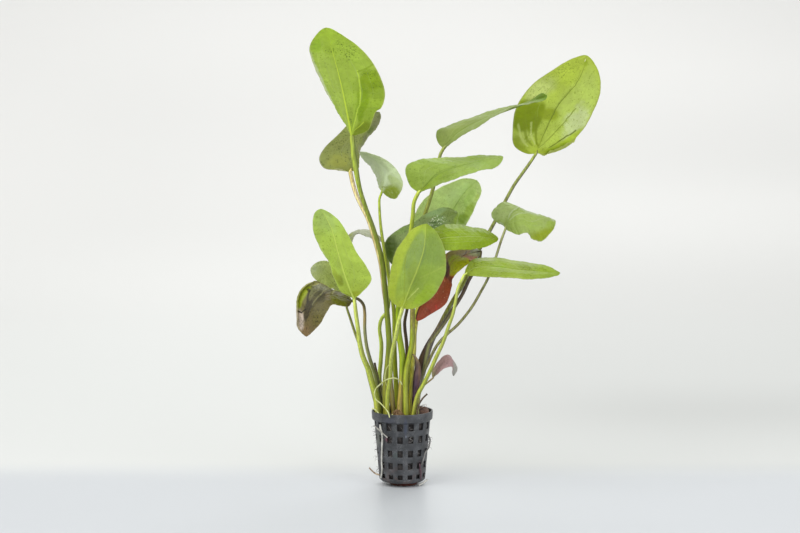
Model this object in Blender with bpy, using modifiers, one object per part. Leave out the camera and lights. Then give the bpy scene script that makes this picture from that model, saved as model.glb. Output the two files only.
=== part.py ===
"""Potted ozelot echinodorus: a rosette of broad leaves on long stalks, in a small net pot.

Sizes are millimetres until mm() turns them into Blender's metres. +Z is up, and the origin is
where the pot's axis meets the ground. The plant is seen from the front along +Y.
"""
import math
from dataclasses import dataclass

import bmesh
import bpy
from mathutils import Vector

COLLECTION = "potted ozelot echinodorus"
GAP = 0.3

# Net pot
POT_TOP = 62.0
RIM_RADIUS = 25.4
BAND_BOTTOM = 54.8
BODY_TOP_RADIUS = 23.3
BODY_BOTTOM_RADIUS = 19.0
WALL = 1.2
HOLE_COLUMNS = 15
HOLE_ROWS = ((54.2, 48.0), (43.3, 37.5), (31.5, 25.9), (20.9, 15.5), (10.7, 7.0))
HOLE_PHASE = math.radians(-5.1)
FLOOR_EDGE_RADIUS = 17.0
FLOOR_Z = 3.6
FLOOR_HOLE_RADIUS = 13.6

# Substrate plug, and the foot of it that comes through the floor of the pot
SOIL_TOP = 55.5
SOIL_CLEARANCE = 0.6
FOOT_RADIUS = 11.4
FOOT_CENTRE_X = 1.2
SOIL_SIDES = 24

# Crown: the fibrous base that shows between the front stalks
CROWN_CENTRE = (-4.2, -11.0)
CROWN_PROFILE = ((3.4, 55.8), (3.5, 60.0), (2.8, 65.0), (1.2, 68.5))
CROWN_SIDES = 10

# Blades and stalks
BLADE_THICKNESS = 0.8
BLADE_ROWS = 10
BLADE_COLUMNS = 4
BLADE_NECK = 1.3
STALK_FOOT = SOIL_TOP + 1.0
BEND_TOLERANCE = 0.28
SHEATH_POINTS = 24


@dataclass(frozen=True)
class Leaf:
    """A leaf by its midrib, the middle points of its own left and right edges, and its stalk.

    Left and right are the leaf's own, looking at its upper face with the tip up. The midrib
    runs from base to tip, and the stalk from under the blade down to its foot on the soil.
    """

    name: str
    colour: tuple
    stalk_colour: tuple
    midrib: tuple
    left: tuple
    right: tuple
    stalk: tuple
    foot: tuple
    radii: tuple
    sheath: tuple = ()


BRIGHT = (0.30, 0.46, 0.06)
OLIVE = (0.24, 0.30, 0.08)
SILVER = (0.38, 0.50, 0.28)
DARK = (0.08, 0.14, 0.04)
PURPLE = (0.10, 0.07, 0.05)
RED = (0.32, 0.04, 0.03)
PALE_STALK = (0.38, 0.50, 0.10)
DARK_STALK = (0.06, 0.04, 0.05)

LEAVES = (
    Leaf(
        "tall_left", BRIGHT, PALE_STALK,
        midrib=((-41, -14, 289), (-46, -20, 316), (-51, -26, 339), (-57, -32, 362), (-61, -36, 376)),
        left=((-28, -11, 294), (-24, -12, 302.5), (-21.5, -15, 309), (-17, -17, 312.5),
              (-14, -20, 321.5), (-16, -25, 333), (-27, -31, 353), (-43.5, -35, 367.5)),
        right=((-48, -8, 301), (-59, -10, 320), (-69.5, -18, 342), (-74.5, -26, 359.5),
               (-69.5, -33, 369.5)),
        stalk=((-39.5, -13, 274), (-35, -11, 247), (-30, -9, 231), (-23.5, -8, 213), (-17, -7, 189),
               (-14.5, -6, 167), (-12.5, -5, 142), (-11, -4, 117), (-12, -3, 103), (-14, -2, 82)),
        foot=(-13.2, -2.3), radii=(1.3, 2.8),
    ),
    Leaf(
        "olive_left", OLIVE, PALE_STALK,
        midrib=((-43, 12, 259), (-39, 18, 274), (-32, 25, 289), (-24, 30, 300), (-19, 34, 308)),
        left=((-55, 6, 261), (-64.5, 6, 262.5), (-68.5, 8, 270), (-65, 12, 278), (-53, 20, 290),
              (-39, 28, 303)),
        right=((-36.5, 18, 262), (-35.5, 28, 275), (-30, 34, 285), (-25, 37, 291), (-19.5, 38, 298)),
        stalk=((-40.5, 10, 248), (-37, 8, 238), (-33, 7, 230), (-28, 6, 220), (-23.5, 4, 206),
               (-18, 4, 185), (-15, 4, 162), (-12, 4, 137), (-11, 4, 112), (-10, 5, 86)),
        foot=(-7, 5), radii=(1.7, 2.2),
    ),
    Leaf(
        "silver_upper", SILVER, PALE_STALK,
        midrib=((-17, 30, 241.5), (-15, 31, 254), (-18, 34, 263), (-25, 39, 270), (-35.5, 44, 274.5)),
        left=((-20, 38, 246), (-21.5, 44, 252), (-24, 48, 257), (-28, 51, 263), (-33.5, 49, 268.5)),
        right=((-10, 20, 237), (-5, 16, 237), (0, 16, 246), (0, 20, 252), (-6.5, 27, 262.5),
               (-18, 36, 270.5)),
        stalk=((-19, 28, 236), (-19, 26, 227), (-18, 23, 214), (-16, 19, 200), (-13.5, 16, 184),
               (-10, 14, 163.5), (-7, 12, 144), (-6.5, 11.5, 127.5), (-6.5, 11, 112.5), (-6, 11, 97.5),
               (-5, 11, 78.5)),
        foot=(-4.5, 11), radii=(1.0, 2.3),
    ),
    Leaf(
        "edge_on_top", SILVER, PALE_STALK,
        midrib=((34, 10, 278.5), (44, 10, 289.5), (64, 11, 301.5), (85, 12, 309.5), (102, 13, 315.5),
                (119, 12, 322)),
        left=((29.5, 20, 283.5), (29, 26, 292.5), (41, 28, 298), (64, 27, 306), (82, 22, 312),
              (96, 17, 314.5), (108, 15, 319.5), (115, 13, 324)),
        right=((37, 2, 280.5), (44, -4, 286.5), (62, -8, 297), (78, -8, 307), (92, -5, 313),
               (104, 0, 315.5), (116, 6, 318)),
        stalk=((31.5, 12, 273.5), (30, 15, 267), (26, 24, 246), (22, 28, 232), (17, 31, 216),
               (12, 28, 193), (9.5, 17, 169), (8.5, 3, 146.5), (8, -4, 119), (5.5, -6, 106),
               (3, -8, 93)),
        foot=(3.5, -9), radii=(1.4, 2.4),
    ),
    Leaf(
        "upper_middle", BRIGHT, PALE_STALK,
        midrib=((13, -22, 244), (30, -26, 259), (49, -29, 266), (66, -29, 270), (81, -27, 273)),
        left=((6, -13, 249.5), (3, -8, 264.5), (11, -6, 269), (27, -7, 271.5), (44, -10, 272),
              (64, -17, 274), (75, -23, 274)),
        right=((19, -31, 246.5), (26, -38, 250), (43, -44, 256.5), (61, -44, 262.5), (73, -38, 264.5),
               (79, -31, 268)),
        stalk=((9.5, -20, 236), (8.5, -18, 225), (6, -16, 205), (2.5, -13, 180), (-2.5, -10, 155),
               (-3, -6, 130), (0, -3, 108), (0, -2, 89)),
        foot=(-2, -2.5), radii=(1.5, 3.0),
    ),
    Leaf(
        "tall_right", BRIGHT, OLIVE,
        midrib=((112, 34, 273.5), (118, 33, 289), (130, 30, 315), (144, 28, 333), (153, 26, 355)),
        left=((104, 31, 273.5), (93.5, 30, 280), (92, 29, 293), (94.5, 29, 311), (106.5, 27, 329.5),
              (126, 24, 344), (142, 24, 353)),
        right=((121.5, 40, 274), (136, 42, 279), (148.5, 43, 289), (158.5, 42, 304.5), (166, 38, 327),
               (162.5, 32, 344)),
        stalk=((107, 33, 266), (100.5, 32, 257), (94, 30, 248), (86.5, 27, 235), (77, 22, 217),
               (60, 14, 187), (52.5, 12, 168.5), (44.5, 10, 156.5), (36.5, 8, 142.5), (29, 8, 128),
               (22, 8, 115), (17, 9, 101), (14, 10, 86)),
        foot=(10, 11), radii=(1.25, 2.2), sheath=(2.2, 0.81, 0.075),
    ),
    Leaf(
        "broad_back", SILVER, PALE_STALK,
        midrib=((26, 50, 193), (33, 54, 210), (44, 56, 226), (54, 54, 241), (63.5, 50, 250)),
        left=((15, 46, 200), (8, 44, 212), (11, 43, 223), (18, 43, 234), (28.5, 44, 242.5),
              (40, 46, 248), (52, 48, 252)),
        right=((37, 48, 195), (47, 47, 203), (56, 46, 216), (62.5, 46, 230), (67, 47, 242)),
        stalk=((24, 47, 181), (19, 40, 165), (14, 32, 148), (10, 25, 133), (9, 19, 114),
               (7, 15, 98), (4, 12, 81)),
        foot=(3, 12), radii=(1.2, 2.2),
    ),
    Leaf(
        "dark_middle", DARK, DARK_STALK,
        midrib=((0, 16, 179), (6, 15, 191), (18, 15, 206), (32, 16, 218), (46, 19, 225)),
        left=((-9, 20, 182), (-15, 23, 192), (-13, 25, 202), (-4, 26, 210), (10, 26, 217),
              (21, 26, 224), (35, 24, 229)),
        right=((10, 8, 181), (21, 4, 189), (34, 4, 201), (43, 8, 212), (46, 14, 220)),
        stalk=((1.5, 14, 165), (4.5, 11, 150), (2, 8, 133.5), (3.5, 6, 118), (4, 5, 106), (2, 4, 87)),
        foot=(0.5, 4), radii=(1.0, 1.9),
    ),
    Leaf(
        "front", BRIGHT, PALE_STALK,
        midrib=((0, -44, 152), (6, -47, 169), (12, -49, 184), (17, -48, 200), (19, -42, 220)),
        left=((9, -44, 152), (23, -42, 160), (31, -38, 171), (34, -36, 182), (33, -34, 197),
              (28, -34, 210), (23, -37, 216)),
        right=((-5, -40, 154), (-10, -36, 159), (-11, -32, 169), (-9, -28, 183), (-6, -28, 195),
               (0, -29, 205), (8, -34, 215)),
        stalk=((-3, -40, 141), (-5, -36, 130), (-7, -32, 121), (-9, -25, 108), (-10, -17, 92),
               (-12, -12, 78)),
        foot=(-12.5, -9), radii=(1.6, 1.9),
    ),
    Leaf(
        "crumpled_right", BRIGHT, OLIVE,
        midrib=((84, -16, 214), (86, -18, 222), (92, -19, 228), (105, -18, 226), (124.5, -15, 221)),
        left=((82, -13, 217), (77.5, -10, 219), (72.5, -6, 225), (78, -4, 232), (85, -5, 235.5),
              (96, -8, 230), (109, -10, 226), (120, -13, 222.5)),
        right=((88, -22, 212), (94, -27, 210), (101, -31, 212), (105.5, -32, 206.5), (112, -30, 205),
               (119, -24, 210), (124, -18, 216)),
        stalk=((80.5, -15, 204), (76.5, -14, 191), (70.5, -12, 174), (64.5, -10, 162), (56.5, -8, 148),
               (45.5, -6, 134), (37, -4, 126), (30, -4, 118.5), (25.5, -3, 111), (22, -2, 103),
               (15.5, -1, 87.5)),
        foot=(11.5, -1), radii=(1.0, 1.3),
    ),
    Leaf(
        "middle_right", BRIGHT, OLIVE,
        midrib=((19, -14, 199), (31, -17, 206), (47, -20, 208), (63, -20, 208), (78, -18, 206)),
        left=((19, -8, 207), (26, -4, 213), (38, -3, 217), (56, -6, 215), (69.5, -12, 212.5)),
        right=((26, -20, 196), (34, -26, 197), (44, -30, 198), (60, -30, 199), (71, -25, 201.5)),
        stalk=((16, -13, 187), (14, -9, 167), (13, -1, 148), (11.5, 5, 134), (10.5, 7, 125),
               (10, 6.5, 111), (8, 3, 91)),
        foot=(6.5, -1.5), radii=(1.1, 2.0),
    ),
    Leaf(
        "long_right", BRIGHT, PALE_STALK,
        midrib=((50, -34, 178), (58, -36, 184), (74, -39, 185), (93, -43, 183), (110, -46, 182),
                (126, -47, 181)),
        left=((52, -28, 184), (56, -24, 189), (65, -22, 191), (78, -23, 191), (92, -27, 189),
              (106, -33, 187.5), (118, -41, 185.5)),
        right=((57, -42, 178), (70, -50, 178), (84, -54, 178), (99, -56, 177), (112, -55, 177.5),
               (121, -51, 179.5)),
        stalk=((45, -33, 167), (43, -31, 156), (41, -29, 146), (38, -28, 137), (33.5, -25, 123),
               (27.5, -21, 109), (22.5, -18, 97), (17.5, -14, 86), (12, -12, 75)),
        foot=(8.5, -11), radii=(1.2, 1.8),
    ),
    Leaf(
        "front_left", BRIGHT, PALE_STALK,
        midrib=((-39, -28, 158), (-45, -34, 174), (-51, -39, 195), (-57, -42, 217), (-65, -43, 232)),
        left=((-33, -28, 163), (-25, -30, 174), (-29, -33, 185), (-37, -35, 197), (-44, -38, 212),
              (-53, -41, 225)),
        right=((-50, -25, 164), (-55, -27, 174), (-60, -30, 189), (-67, -33, 201), (-72, -37, 217),
               (-70, -41, 229)),
        stalk=((-37.5, -27, 144), (-36, -25, 132), (-35, -22, 122), (-32.5, -18, 110), (-28, -13, 98),
               (-25, -8, 86), (-22, -5, 75)),
        foot=(-19.6, -4.5), radii=(1.4, 2.9),
    ),
    Leaf(
        "drooping_purple", PURPLE, DARK_STALK,
        midrib=((-41, -8, 154), (-50, -14, 158), (-61, -20, 160), (-70, -25, 154), (-76, -27, 142),
                (-78, -25, 127)),
        left=((-44.5, -18, 150.5), (-57, -27, 153), (-61, -31, 148), (-66, -32, 139), (-73, -28, 131)),
        right=((-45, -2, 158.5), (-55, -2, 162), (-67, -6, 168), (-77.5, -14, 167), (-84, -19, 159),
               (-84, -23, 147), (-81, -25, 133.5)),
        stalk=((-38, -7, 156), (-34.5, -6, 154), (-32, -6, 150.5), (-31, -5, 144), (-31, -4, 130),
               (-29.5, -3, 116), (-26.5, -2, 104), (-22.5, 0, 91), (-19.5, 2, 77)),
        foot=(-14.5, 3.5), radii=(1.2, 1.75),
    ),
    Leaf(
        "arched", OLIVE, PALE_STALK,
        midrib=((-15, 28, 199), (-25, 27, 206), (-35, 25, 208), (-43, 21, 204), (-48, 18, 194),
                (-46, 16, 181)),
        left=((-19, 20, 201), (-29, 15, 205), (-37, 12, 208), (-42, 9, 201), (-42, 9, 191)),
        right=((-17, 36, 202), (-28, 39, 209), (-37, 37, 209), (-46, 33, 205), (-54, 28, 195),
               (-53, 21, 185)),
        stalk=((-12, 23, 183), (-11, 20, 164), (-12.5, 18, 143), (-17.5, 16, 136), (-19, 16, 128.5),
               (-17.5, 14, 115), (-18, 12, 102), (-19, 12, 85)),
        foot=(-14.5, 10.5), radii=(1.1, 2.0),
    ),
    Leaf(
        "low_left", OLIVE, OLIVE,
        midrib=((-47, 8, 153), (-55, 9, 164), (-64, 10, 174), (-76, 10, 179)),
        left=((-54, 3, 161), (-68, 5, 167), (-75, 8, 174)),
        right=((-48, 12, 164), (-54, 14, 177), (-63, 14, 185), (-71, 12, 184)),
        stalk=((-46, 6, 147), (-43, 4, 138), (-39.5, 4, 127), (-35.5, 4, 116), (-31, 4, 102),
               (-27, 6, 86)),
        foot=(-19, 6), radii=(0.95, 1.7),
    ),
    Leaf(
        "red", RED, DARK_STALK,
        midrib=((64.5, -4, 194.5), (53, -7, 192), (41, -10, 187), (37, -12, 174), (33, -12, 161),
                (24, -12, 149), (12, -11, 138)),
        left=((62.5, -12, 191), (56, -18, 187), (46, -20, 180), (41, -18, 173), (40, -16, 166),
              (36, -14, 153), (24, -12, 144)),
        right=((61, 4, 196), (49, 8, 196), (37, 8, 192), (31, 6, 182), (28, 4, 169), (21, 0, 157),
               (13, -5, 147)),
        stalk=((63, -4, 187), (59.5, -4, 179), (55, -3, 171), (50, -2, 160), (45.5, 0, 152),
               (41, 0, 145), (36.5, 0, 137.5), (29.5, 0, 127.5), (23, 1, 118), (20, 2, 107),
               (18, 3, 95), (14.5, 4, 82)),
        foot=(11.5, 4.5), radii=(1.3, 2.0),
    ),
)

# Young leaves, ends of cut stalks, and the roots that show on the outside
ROLLED_LEAF = ((9.7, -6, 55.8), (9.7, -6, 68), (10.9, -7, 78), (12.5, -8, 90), (12.9, -8, 100),
               (11.3, -8, 106.5), (8.6, -8, 110))
ROLLED_LEAF_RADII = (1.3, 1.4, 1.9, 3.1, 3.3, 2.0, 0.5)

YOUNG_RED_MIDRIB = (
    (25, -12, 90.5), (28.5, -13, 97.5), (34, -14, 104), (39.5, -14, 106), (43, -13, 101),
    (42.3, -12, 92.5),
)
YOUNG_RED_LEFT = (
    (24.3, -9, 94.5), (27, -8, 100), (33.5, -8, 108), (38, -9, 109.5), (42, -9, 105),
    (45.3, -9, 98.5),
)
YOUNG_RED_RIGHT = (
    (28.5, -17, 94.5), (33.3, -19, 99), (38, -19, 101), (40.7, -18, 101), (41, -15, 95.5),
)
YOUNG_RED_STALK = ((21, -10.5, 87), (17.7, -9, 83.8), (14.8, -7.5, 77.5))
YOUNG_RED_FOOT = (12.8, -6.8)
YOUNG_RED_RADII = (0.7, 0.8)

STUBS = (
    ("stub_left", (0.9, 1), (
        (-23, 4, 101), (-21, 5, 92), (-19, 5.5, 83), (-16, 6, 73), (-11.5, 6.5, 56.4),
    )),
    ("stub_right", (0.7, 0.8), (
        (20.5, -14.5, 78), (16.3, -14.5, 73.5), (13, -14.5, 67), (12, -14, 55.8),
    )),
)

WHITE_ROOT = (0.75, 0.72, 0.62)
BROWN_ROOT = (0.25, 0.14, 0.07)
ROOTS = (
    ("root_loop", 0.55, WHITE_ROOT, (
        (-0.3, -13.5, 85.5), (-2.2, -15, 89), (-7, -20, 92), (-13, -20, 90.5), (-18.2, -15.5, 86),
        (-22, -12.5, 81.5), (-23, -11.5, 77.5), (-21.7, -11, 72.7), (-18.5, -11, 70),
        (-14.5, -14, 66.3), (-11.3, -22.6, 63.3), (-10.5, -26.3, 60.5),
    )),
    ("root_green", 0.6, PALE_STALK, (
        (-25, -3, 63.8), (-22.2, -9, 63.8), (-18.5, -12.9, 60.3), (-14.9, -16.7, 59),
        (-11.7, -17.6, 59), (-9.4, -16.7, 60), (-8, -15.3, 61),
    )),
    ("root_thin", 0.4, WHITE_ROOT, (
        (-11, -8.5, 101.5), (-13.4, -8, 97), (-14.4, -7.5, 89.5), (-13, -7.5, 83.5),
    )),
    ("root_pot_left", 0.75, WHITE_ROOT, (
        (-18.3, -16.1, 52.7), (-17.9, -16.1, 49.3), (-16.8, -16.7, 45.2), (-16.5, -16.5, 41),
        (-16.8, -15.3, 33), (-17.1, -13.6, 22.3), (-16.8, -12.9, 13.6), (-17.8, -10.4, 7),
    )),
    ("root_cross", 0.6, WHITE_ROOT, (
        (-23, -7.7, 50), (-20.8, -13.8, 49.3), (-16.8, -20.5, 46.8), (-12.2, -21, 42.7),
    )),
    ("root_tan", 0.7, BROWN_ROOT, (
        (-18.8, -9.5, 9.2), (-21.9, -10, 10.4), (-25, -9.5, 12.7), (-27.5, -9, 15.3),
    )),
    ("root_foot_right", 0.75, WHITE_ROOT, (
        (20.8, -6, 4.6), (17.3, -8, 2.2), (13.9, -12, 1.2),
    )),
    ("root_side_right", 0.6, WHITE_ROOT, (
        (22, -8, 41.8), (23, -4, 37), (21.9, -6, 31.6), (19.3, -11.4, 29), (17.3, -13.6, 22.6),
        (15.9, -14.5, 18.6),
    )),
    ("root_red_right", 0.6, PURPLE, (
        (14.3, -16.1, 19.8), (15.2, -14.7, 13.9), (15.4, -13.8, 9.2), (15.2, -13.6, 6),
    )),
)


def mm(*values):
    """Turn millimetres into a vector in metres."""
    return Vector(values) * 0.001


def curve_through(points, count):
    """Give count points, evenly spaced along a smooth curve through the points."""
    knots = [Vector(p) for p in points]
    ends = [2 * knots[0] - knots[1], *knots, 2 * knots[-1] - knots[-2]]
    fine = []
    for i in range(1, len(ends) - 2):
        p0, p1, p2, p3 = ends[i - 1:i + 3]
        t1 = math.sqrt((p1 - p0).length)
        t2 = t1 + math.sqrt((p2 - p1).length)
        t3 = t2 + math.sqrt((p3 - p2).length)
        for step in range(16):
            t = t1 + (t2 - t1) * step / 16
            a1 = p0.lerp(p1, t / t1)
            a2 = p1.lerp(p2, (t - t1) / (t2 - t1))
            a3 = p2.lerp(p3, (t - t2) / (t3 - t2))
            b1 = a1.lerp(a2, t / t2)
            b2 = a2.lerp(a3, (t - t1) / (t3 - t1))
            fine.append(b1.lerp(b2, (t - t1) / (t2 - t1)))
    fine.append(knots[-1])
    lengths = [0.0]
    for a, b in zip(fine, fine[1:]):
        lengths.append(lengths[-1] + (b - a).length)
    spaced = []
    at = 0
    for k in range(count):
        want = lengths[-1] * k / (count - 1)
        while at < len(fine) - 2 and lengths[at + 1] < want:
            at += 1
        share = (want - lengths[at]) / (lengths[at + 1] - lengths[at])
        spaced.append(fine[at].lerp(fine[at + 1], share))
    return spaced


def needed(points, tolerance=BEND_TOLERANCE):
    """Keep only the points of a smooth line that its bends need."""
    first, last = points[0], points[-1]
    along = (last - first).normalized()
    far, at = 0.0, 0
    for i in range(1, len(points) - 1):
        offset = (points[i] - first).cross(along).length
        if offset > far:
            far, at = offset, i
    if far <= tolerance:
        return [first, last]
    return needed(points[:at + 1], tolerance)[:-1] + needed(points[at:], tolerance)


def material(name, colour, roughness):
    """Make a plain Principled material."""
    made = bpy.data.materials.new(name)
    made.use_nodes = True
    shader = made.node_tree.nodes["Principled BSDF"]
    shader.inputs["Base Color"].default_value = (*colour, 1.0)
    shader.inputs["Roughness"].default_value = roughness
    shader.inputs["Metallic"].default_value = 0.0
    return made


def place(name, data, collection, colour, roughness=0.5):
    """Put mesh or curve data in the collection as a named object with its own material."""
    piece = bpy.data.objects.new(name, data)
    data.materials.append(material(name, colour, roughness))
    collection.objects.link(piece)
    return piece


def tube(name, points, radii, collection, colour, sides_level=1):
    """Make a round stem, stalk or root: a bevelled curve with filled caps.

    Two radii taper evenly from the first point to the last, and otherwise each point has its own.
    """
    data = bpy.data.curves.new(name, "CURVE")
    data.dimensions = "3D"
    data.bevel_depth = 0.001
    data.bevel_resolution = sides_level
    data.use_fill_caps = True
    spline = data.splines.new("POLY")
    spline.points.add(len(points) - 1)
    if len(radii) == 2:
        reach = [0.0]
        for a, b in zip(points, points[1:]):
            reach.append(reach[-1] + (b - a).length)
        radii = [radii[0] + (radii[1] - radii[0]) * at / reach[-1] for at in reach]
    for target, point, radius in zip(spline.points, points, radii):
        target.co = (*mm(*point), 1.0)
        target.radius = radius
    return place(name, data, collection, colour)


def thick_sheet(name, rows, thickness, collection, colour):
    """Skin rows of points as an open sheet and give it a thickness."""
    mesh = bpy.data.meshes.new(name)
    bm = bmesh.new()
    grid = [[bm.verts.new(mm(*point)) for point in row] for row in rows]
    for low, high in zip(grid, grid[1:]):
        for j in range(len(low) - 1):
            bm.faces.new((low[j], low[j + 1], high[j + 1], high[j]))
    for face in bm.faces:
        face.smooth = True
    bm.to_mesh(mesh)
    bm.free()
    piece = place(name, mesh, collection, colour)
    solid = piece.modifiers.new("thickness", "SOLIDIFY")
    solid.thickness = thickness * 0.001
    solid.offset = 0.0
    solid.use_even_offset = False
    return piece


def blade_rows(midrib, left, right, rows=BLADE_ROWS, columns=BLADE_COLUMNS, neck=BLADE_NECK):
    """Loft a blade across its midrib, from a narrow neck at the base to the tip."""
    base, tip = midrib[0], midrib[-1]
    middle = curve_through(midrib, rows + 1)
    sides = [curve_through((base, *edge, tip), rows + 1) for edge in (left, right)]
    lofted = []
    for i in range(rows + 1):
        centre, port, starboard = middle[i], sides[0][i], sides[1][i]
        if i in (0, rows):
            inner = 1 if i == 0 else rows - 1
            across = (sides[1][inner] - sides[0][inner]).normalized()
            centre = centre.lerp(middle[inner], 0.06)
            width = neck if i == 0 else neck * 0.7
            port, starboard = centre - across * width, centre + across * width
        half = columns // 2
        row = [port.lerp(centre, j / half) for j in range(half)]
        row += [centre.lerp(starboard, j / half) for j in range(half + 1)]
        lofted.append(row)
    return lofted


def stalk_run(midrib, stalk, foot, radius):
    """Lead a stalk from just under its blade down to the soil.

    Where the blade folds away from the stalk, the round end keeps farther from the neck.
    """
    base = Vector(midrib[0])
    down = (Vector(stalk[0]) - base).normalized()
    onward = (Vector(midrib[1]) - base).normalized()
    start = base + down * (GAP + 1.3 * radius * down.cross(onward).length)
    return needed(curve_through((start, *stalk, (*foot, STALK_FOOT)), 80))


def sheathed(radii, sheath):
    """Swell an evenly tapering stalk where its sheath is.

    The sheath is how much it adds to the radius, where it is along the stalk and how far it reaches,
    both as shares of the stalk's length.
    """
    extra, at, reach = sheath
    swollen = []
    for step in range(SHEATH_POINTS):
        far = step / (SHEATH_POINTS - 1)
        swell = extra * math.exp(-(((far - at) / reach) ** 2))
        swollen.append(radii[0] + (radii[1] - radii[0]) * far + swell)
    return swollen


def build_leaf(leaf, collection):
    """Make the blade and the stalk of one leaf."""
    rows = blade_rows(leaf.midrib, leaf.left, leaf.right)
    thick_sheet(f"blade_{leaf.name}", rows, BLADE_THICKNESS, collection, leaf.colour)
    run = stalk_run(leaf.midrib, leaf.stalk, leaf.foot, leaf.radii[0])
    radii = leaf.radii
    if leaf.sheath:
        run = curve_through(run, SHEATH_POINTS)
        radii = sheathed(leaf.radii, leaf.sheath)
    tube(f"stalk_{leaf.name}", run, radii, collection, leaf.stalk_colour)


def ring(bm, radius, height, count, phase, centre_x=0.0):
    """Add a level ring of vertices."""
    turns = [phase + 2 * math.pi * k / count for k in range(count)]
    return [
        bm.verts.new(mm(centre_x + radius * math.cos(a), radius * math.sin(a), height)) for a in turns
    ]


def bridge(bm, upper, lower, skip=lambda k: False):
    """Join two rings of the same count with quads, except where skip says so."""
    count = len(upper)
    for k in range(count):
        if not skip(k):
            after = (k + 1) % count
            bm.faces.new((upper[k], lower[k], lower[after], upper[after]))


def build_pot(collection):
    """Make the net pot: a tapered wall with a grid of square holes, a rim band and a floor ring."""
    count = 2 * HOLE_COLUMNS
    phase = HOLE_PHASE - math.pi / 2 - math.pi / count
    slope = (BODY_TOP_RADIUS - BODY_BOTTOM_RADIUS) / (BAND_BOTTOM - FLOOR_Z)
    outline = [(RIM_RADIUS, POT_TOP), (RIM_RADIUS - 0.3, BAND_BOTTOM + 0.6)]
    holed = []
    for top, bottom in HOLE_ROWS:
        holed.append(len(outline))
        for z in (top, bottom):
            outline.append((BODY_BOTTOM_RADIUS + slope * (z - FLOOR_Z), z))
    outline += [(FLOOR_EDGE_RADIUS, FLOOR_Z), (FLOOR_HOLE_RADIUS, FLOOR_Z)]
    mesh = bpy.data.meshes.new("pot")
    bm = bmesh.new()
    half_wall = WALL / 2
    rings = [ring(bm, radius - half_wall, z, count, phase) for radius, z in outline]
    for i, (upper, lower) in enumerate(zip(rings, rings[1:])):
        bridge(bm, upper, lower, skip=lambda k, i=i: i in holed and k % 2 == 0)
    bm.to_mesh(mesh)
    bm.free()
    pot = place("pot", mesh, collection, (0.03, 0.03, 0.035), 0.55)
    wall = pot.modifiers.new("wall", "SOLIDIFY")
    wall.thickness = WALL * 0.001
    wall.offset = 0.0


def build_substrate(collection):
    """Make the plug of growing medium that fills the pot and stands on the ground."""
    slope = (BODY_TOP_RADIUS - BODY_BOTTOM_RADIUS) / (BAND_BOTTOM - FLOOR_Z)
    inset = WALL + SOIL_CLEARANCE
    above_floor = FLOOR_Z + WALL / 2 + SOIL_CLEARANCE
    outline = [
        (6.0, SOIL_TOP),
        (BODY_TOP_RADIUS - inset - 2.0, SOIL_TOP - 0.2),
        (BODY_TOP_RADIUS - inset, SOIL_TOP - 2.5),
        (BODY_BOTTOM_RADIUS - inset + slope * 8.0, FLOOR_Z + 8.0),
        (FLOOR_EDGE_RADIUS - inset, above_floor),
        (FOOT_RADIUS, above_floor),
        (FOOT_RADIUS, 2.0),
        (FOOT_RADIUS - 1.2, 0.0),
    ]
    mesh = bpy.data.meshes.new("substrate")
    bm = bmesh.new()
    rings = []
    for radius, z in outline:
        in_foot = z < above_floor or radius == FOOT_RADIUS
        rings.append(ring(bm, radius, z, SOIL_SIDES, 0.0, FOOT_CENTRE_X if in_foot else 0.0))
    for upper, lower in zip(rings, rings[1:]):
        bridge(bm, upper, lower)
    bm.faces.new(rings[0])
    bm.faces.new(rings[-1][::-1])
    bmesh.ops.recalc_face_normals(bm, faces=bm.faces)
    bm.to_mesh(mesh)
    bm.free()
    place("substrate", mesh, collection, (0.10, 0.05, 0.03), 0.95)


def build_crown(collection):
    """Make the fibrous base of the rosette, a short blunt cone."""
    mesh = bpy.data.meshes.new("crown")
    bm = bmesh.new()
    x, y = CROWN_CENTRE
    rings = [ring(bm, radius, z, CROWN_SIDES, 0.0) for radius, z in CROWN_PROFILE[::-1]]
    for upper, lower in zip(rings, rings[1:]):
        bridge(bm, upper, lower)
    bm.faces.new(rings[0])
    bm.faces.new(rings[-1][::-1])
    bmesh.ops.recalc_face_normals(bm, faces=bm.faces)
    bmesh.ops.translate(bm, verts=bm.verts, vec=mm(x, y, 0))
    bm.to_mesh(mesh)
    bm.free()
    place("crown", mesh, collection, (0.42, 0.26, 0.12), 0.8)


def build_small_pieces(collection):
    """Make the young leaves, the ends of cut stalks and the roots."""
    rolled = [Vector(point) for point in ROLLED_LEAF]
    tube("leaf_young_rolled", rolled, ROLLED_LEAF_RADII, collection, PURPLE)
    rows = blade_rows(YOUNG_RED_MIDRIB, YOUNG_RED_LEFT, YOUNG_RED_RIGHT, neck=0.6)
    thick_sheet("blade_young_red", rows, BLADE_THICKNESS, collection, RED)
    run = stalk_run(YOUNG_RED_MIDRIB, YOUNG_RED_STALK, YOUNG_RED_FOOT, YOUNG_RED_RADII[0])
    tube("stalk_young_red", run, YOUNG_RED_RADII, collection, DARK_STALK)
    for name, radii, points in STUBS:
        tube(name, needed(curve_through(points, 40)), radii, collection, DARK_STALK)
    for name, radius, colour, points in ROOTS:
        run = needed(curve_through(points, 60))
        tube(name, run, (radius, radius), collection, colour, sides_level=0)


def main():
    """Clear the scene and build the whole plant."""
    for old in list(bpy.data.objects):
        bpy.data.objects.remove(old, do_unlink=True)
    collection = bpy.data.collections.new(COLLECTION)
    bpy.context.scene.collection.children.link(collection)
    build_pot(collection)
    build_substrate(collection)
    build_crown(collection)
    for leaf in LEAVES:
        build_leaf(leaf, collection)
    build_small_pieces(collection)


main()
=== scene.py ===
"""Looks of the potted sword plant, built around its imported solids.

Sizes are millimetres until a mesh is made, which turns them into metres. +Z is up, +X to the
right and +Y away from a viewer in front. Each leaf is lofted through the same midrib, edges
and stalk as its solids, with more points, veins in relief, rolled margins and its own finish.
"""

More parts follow.
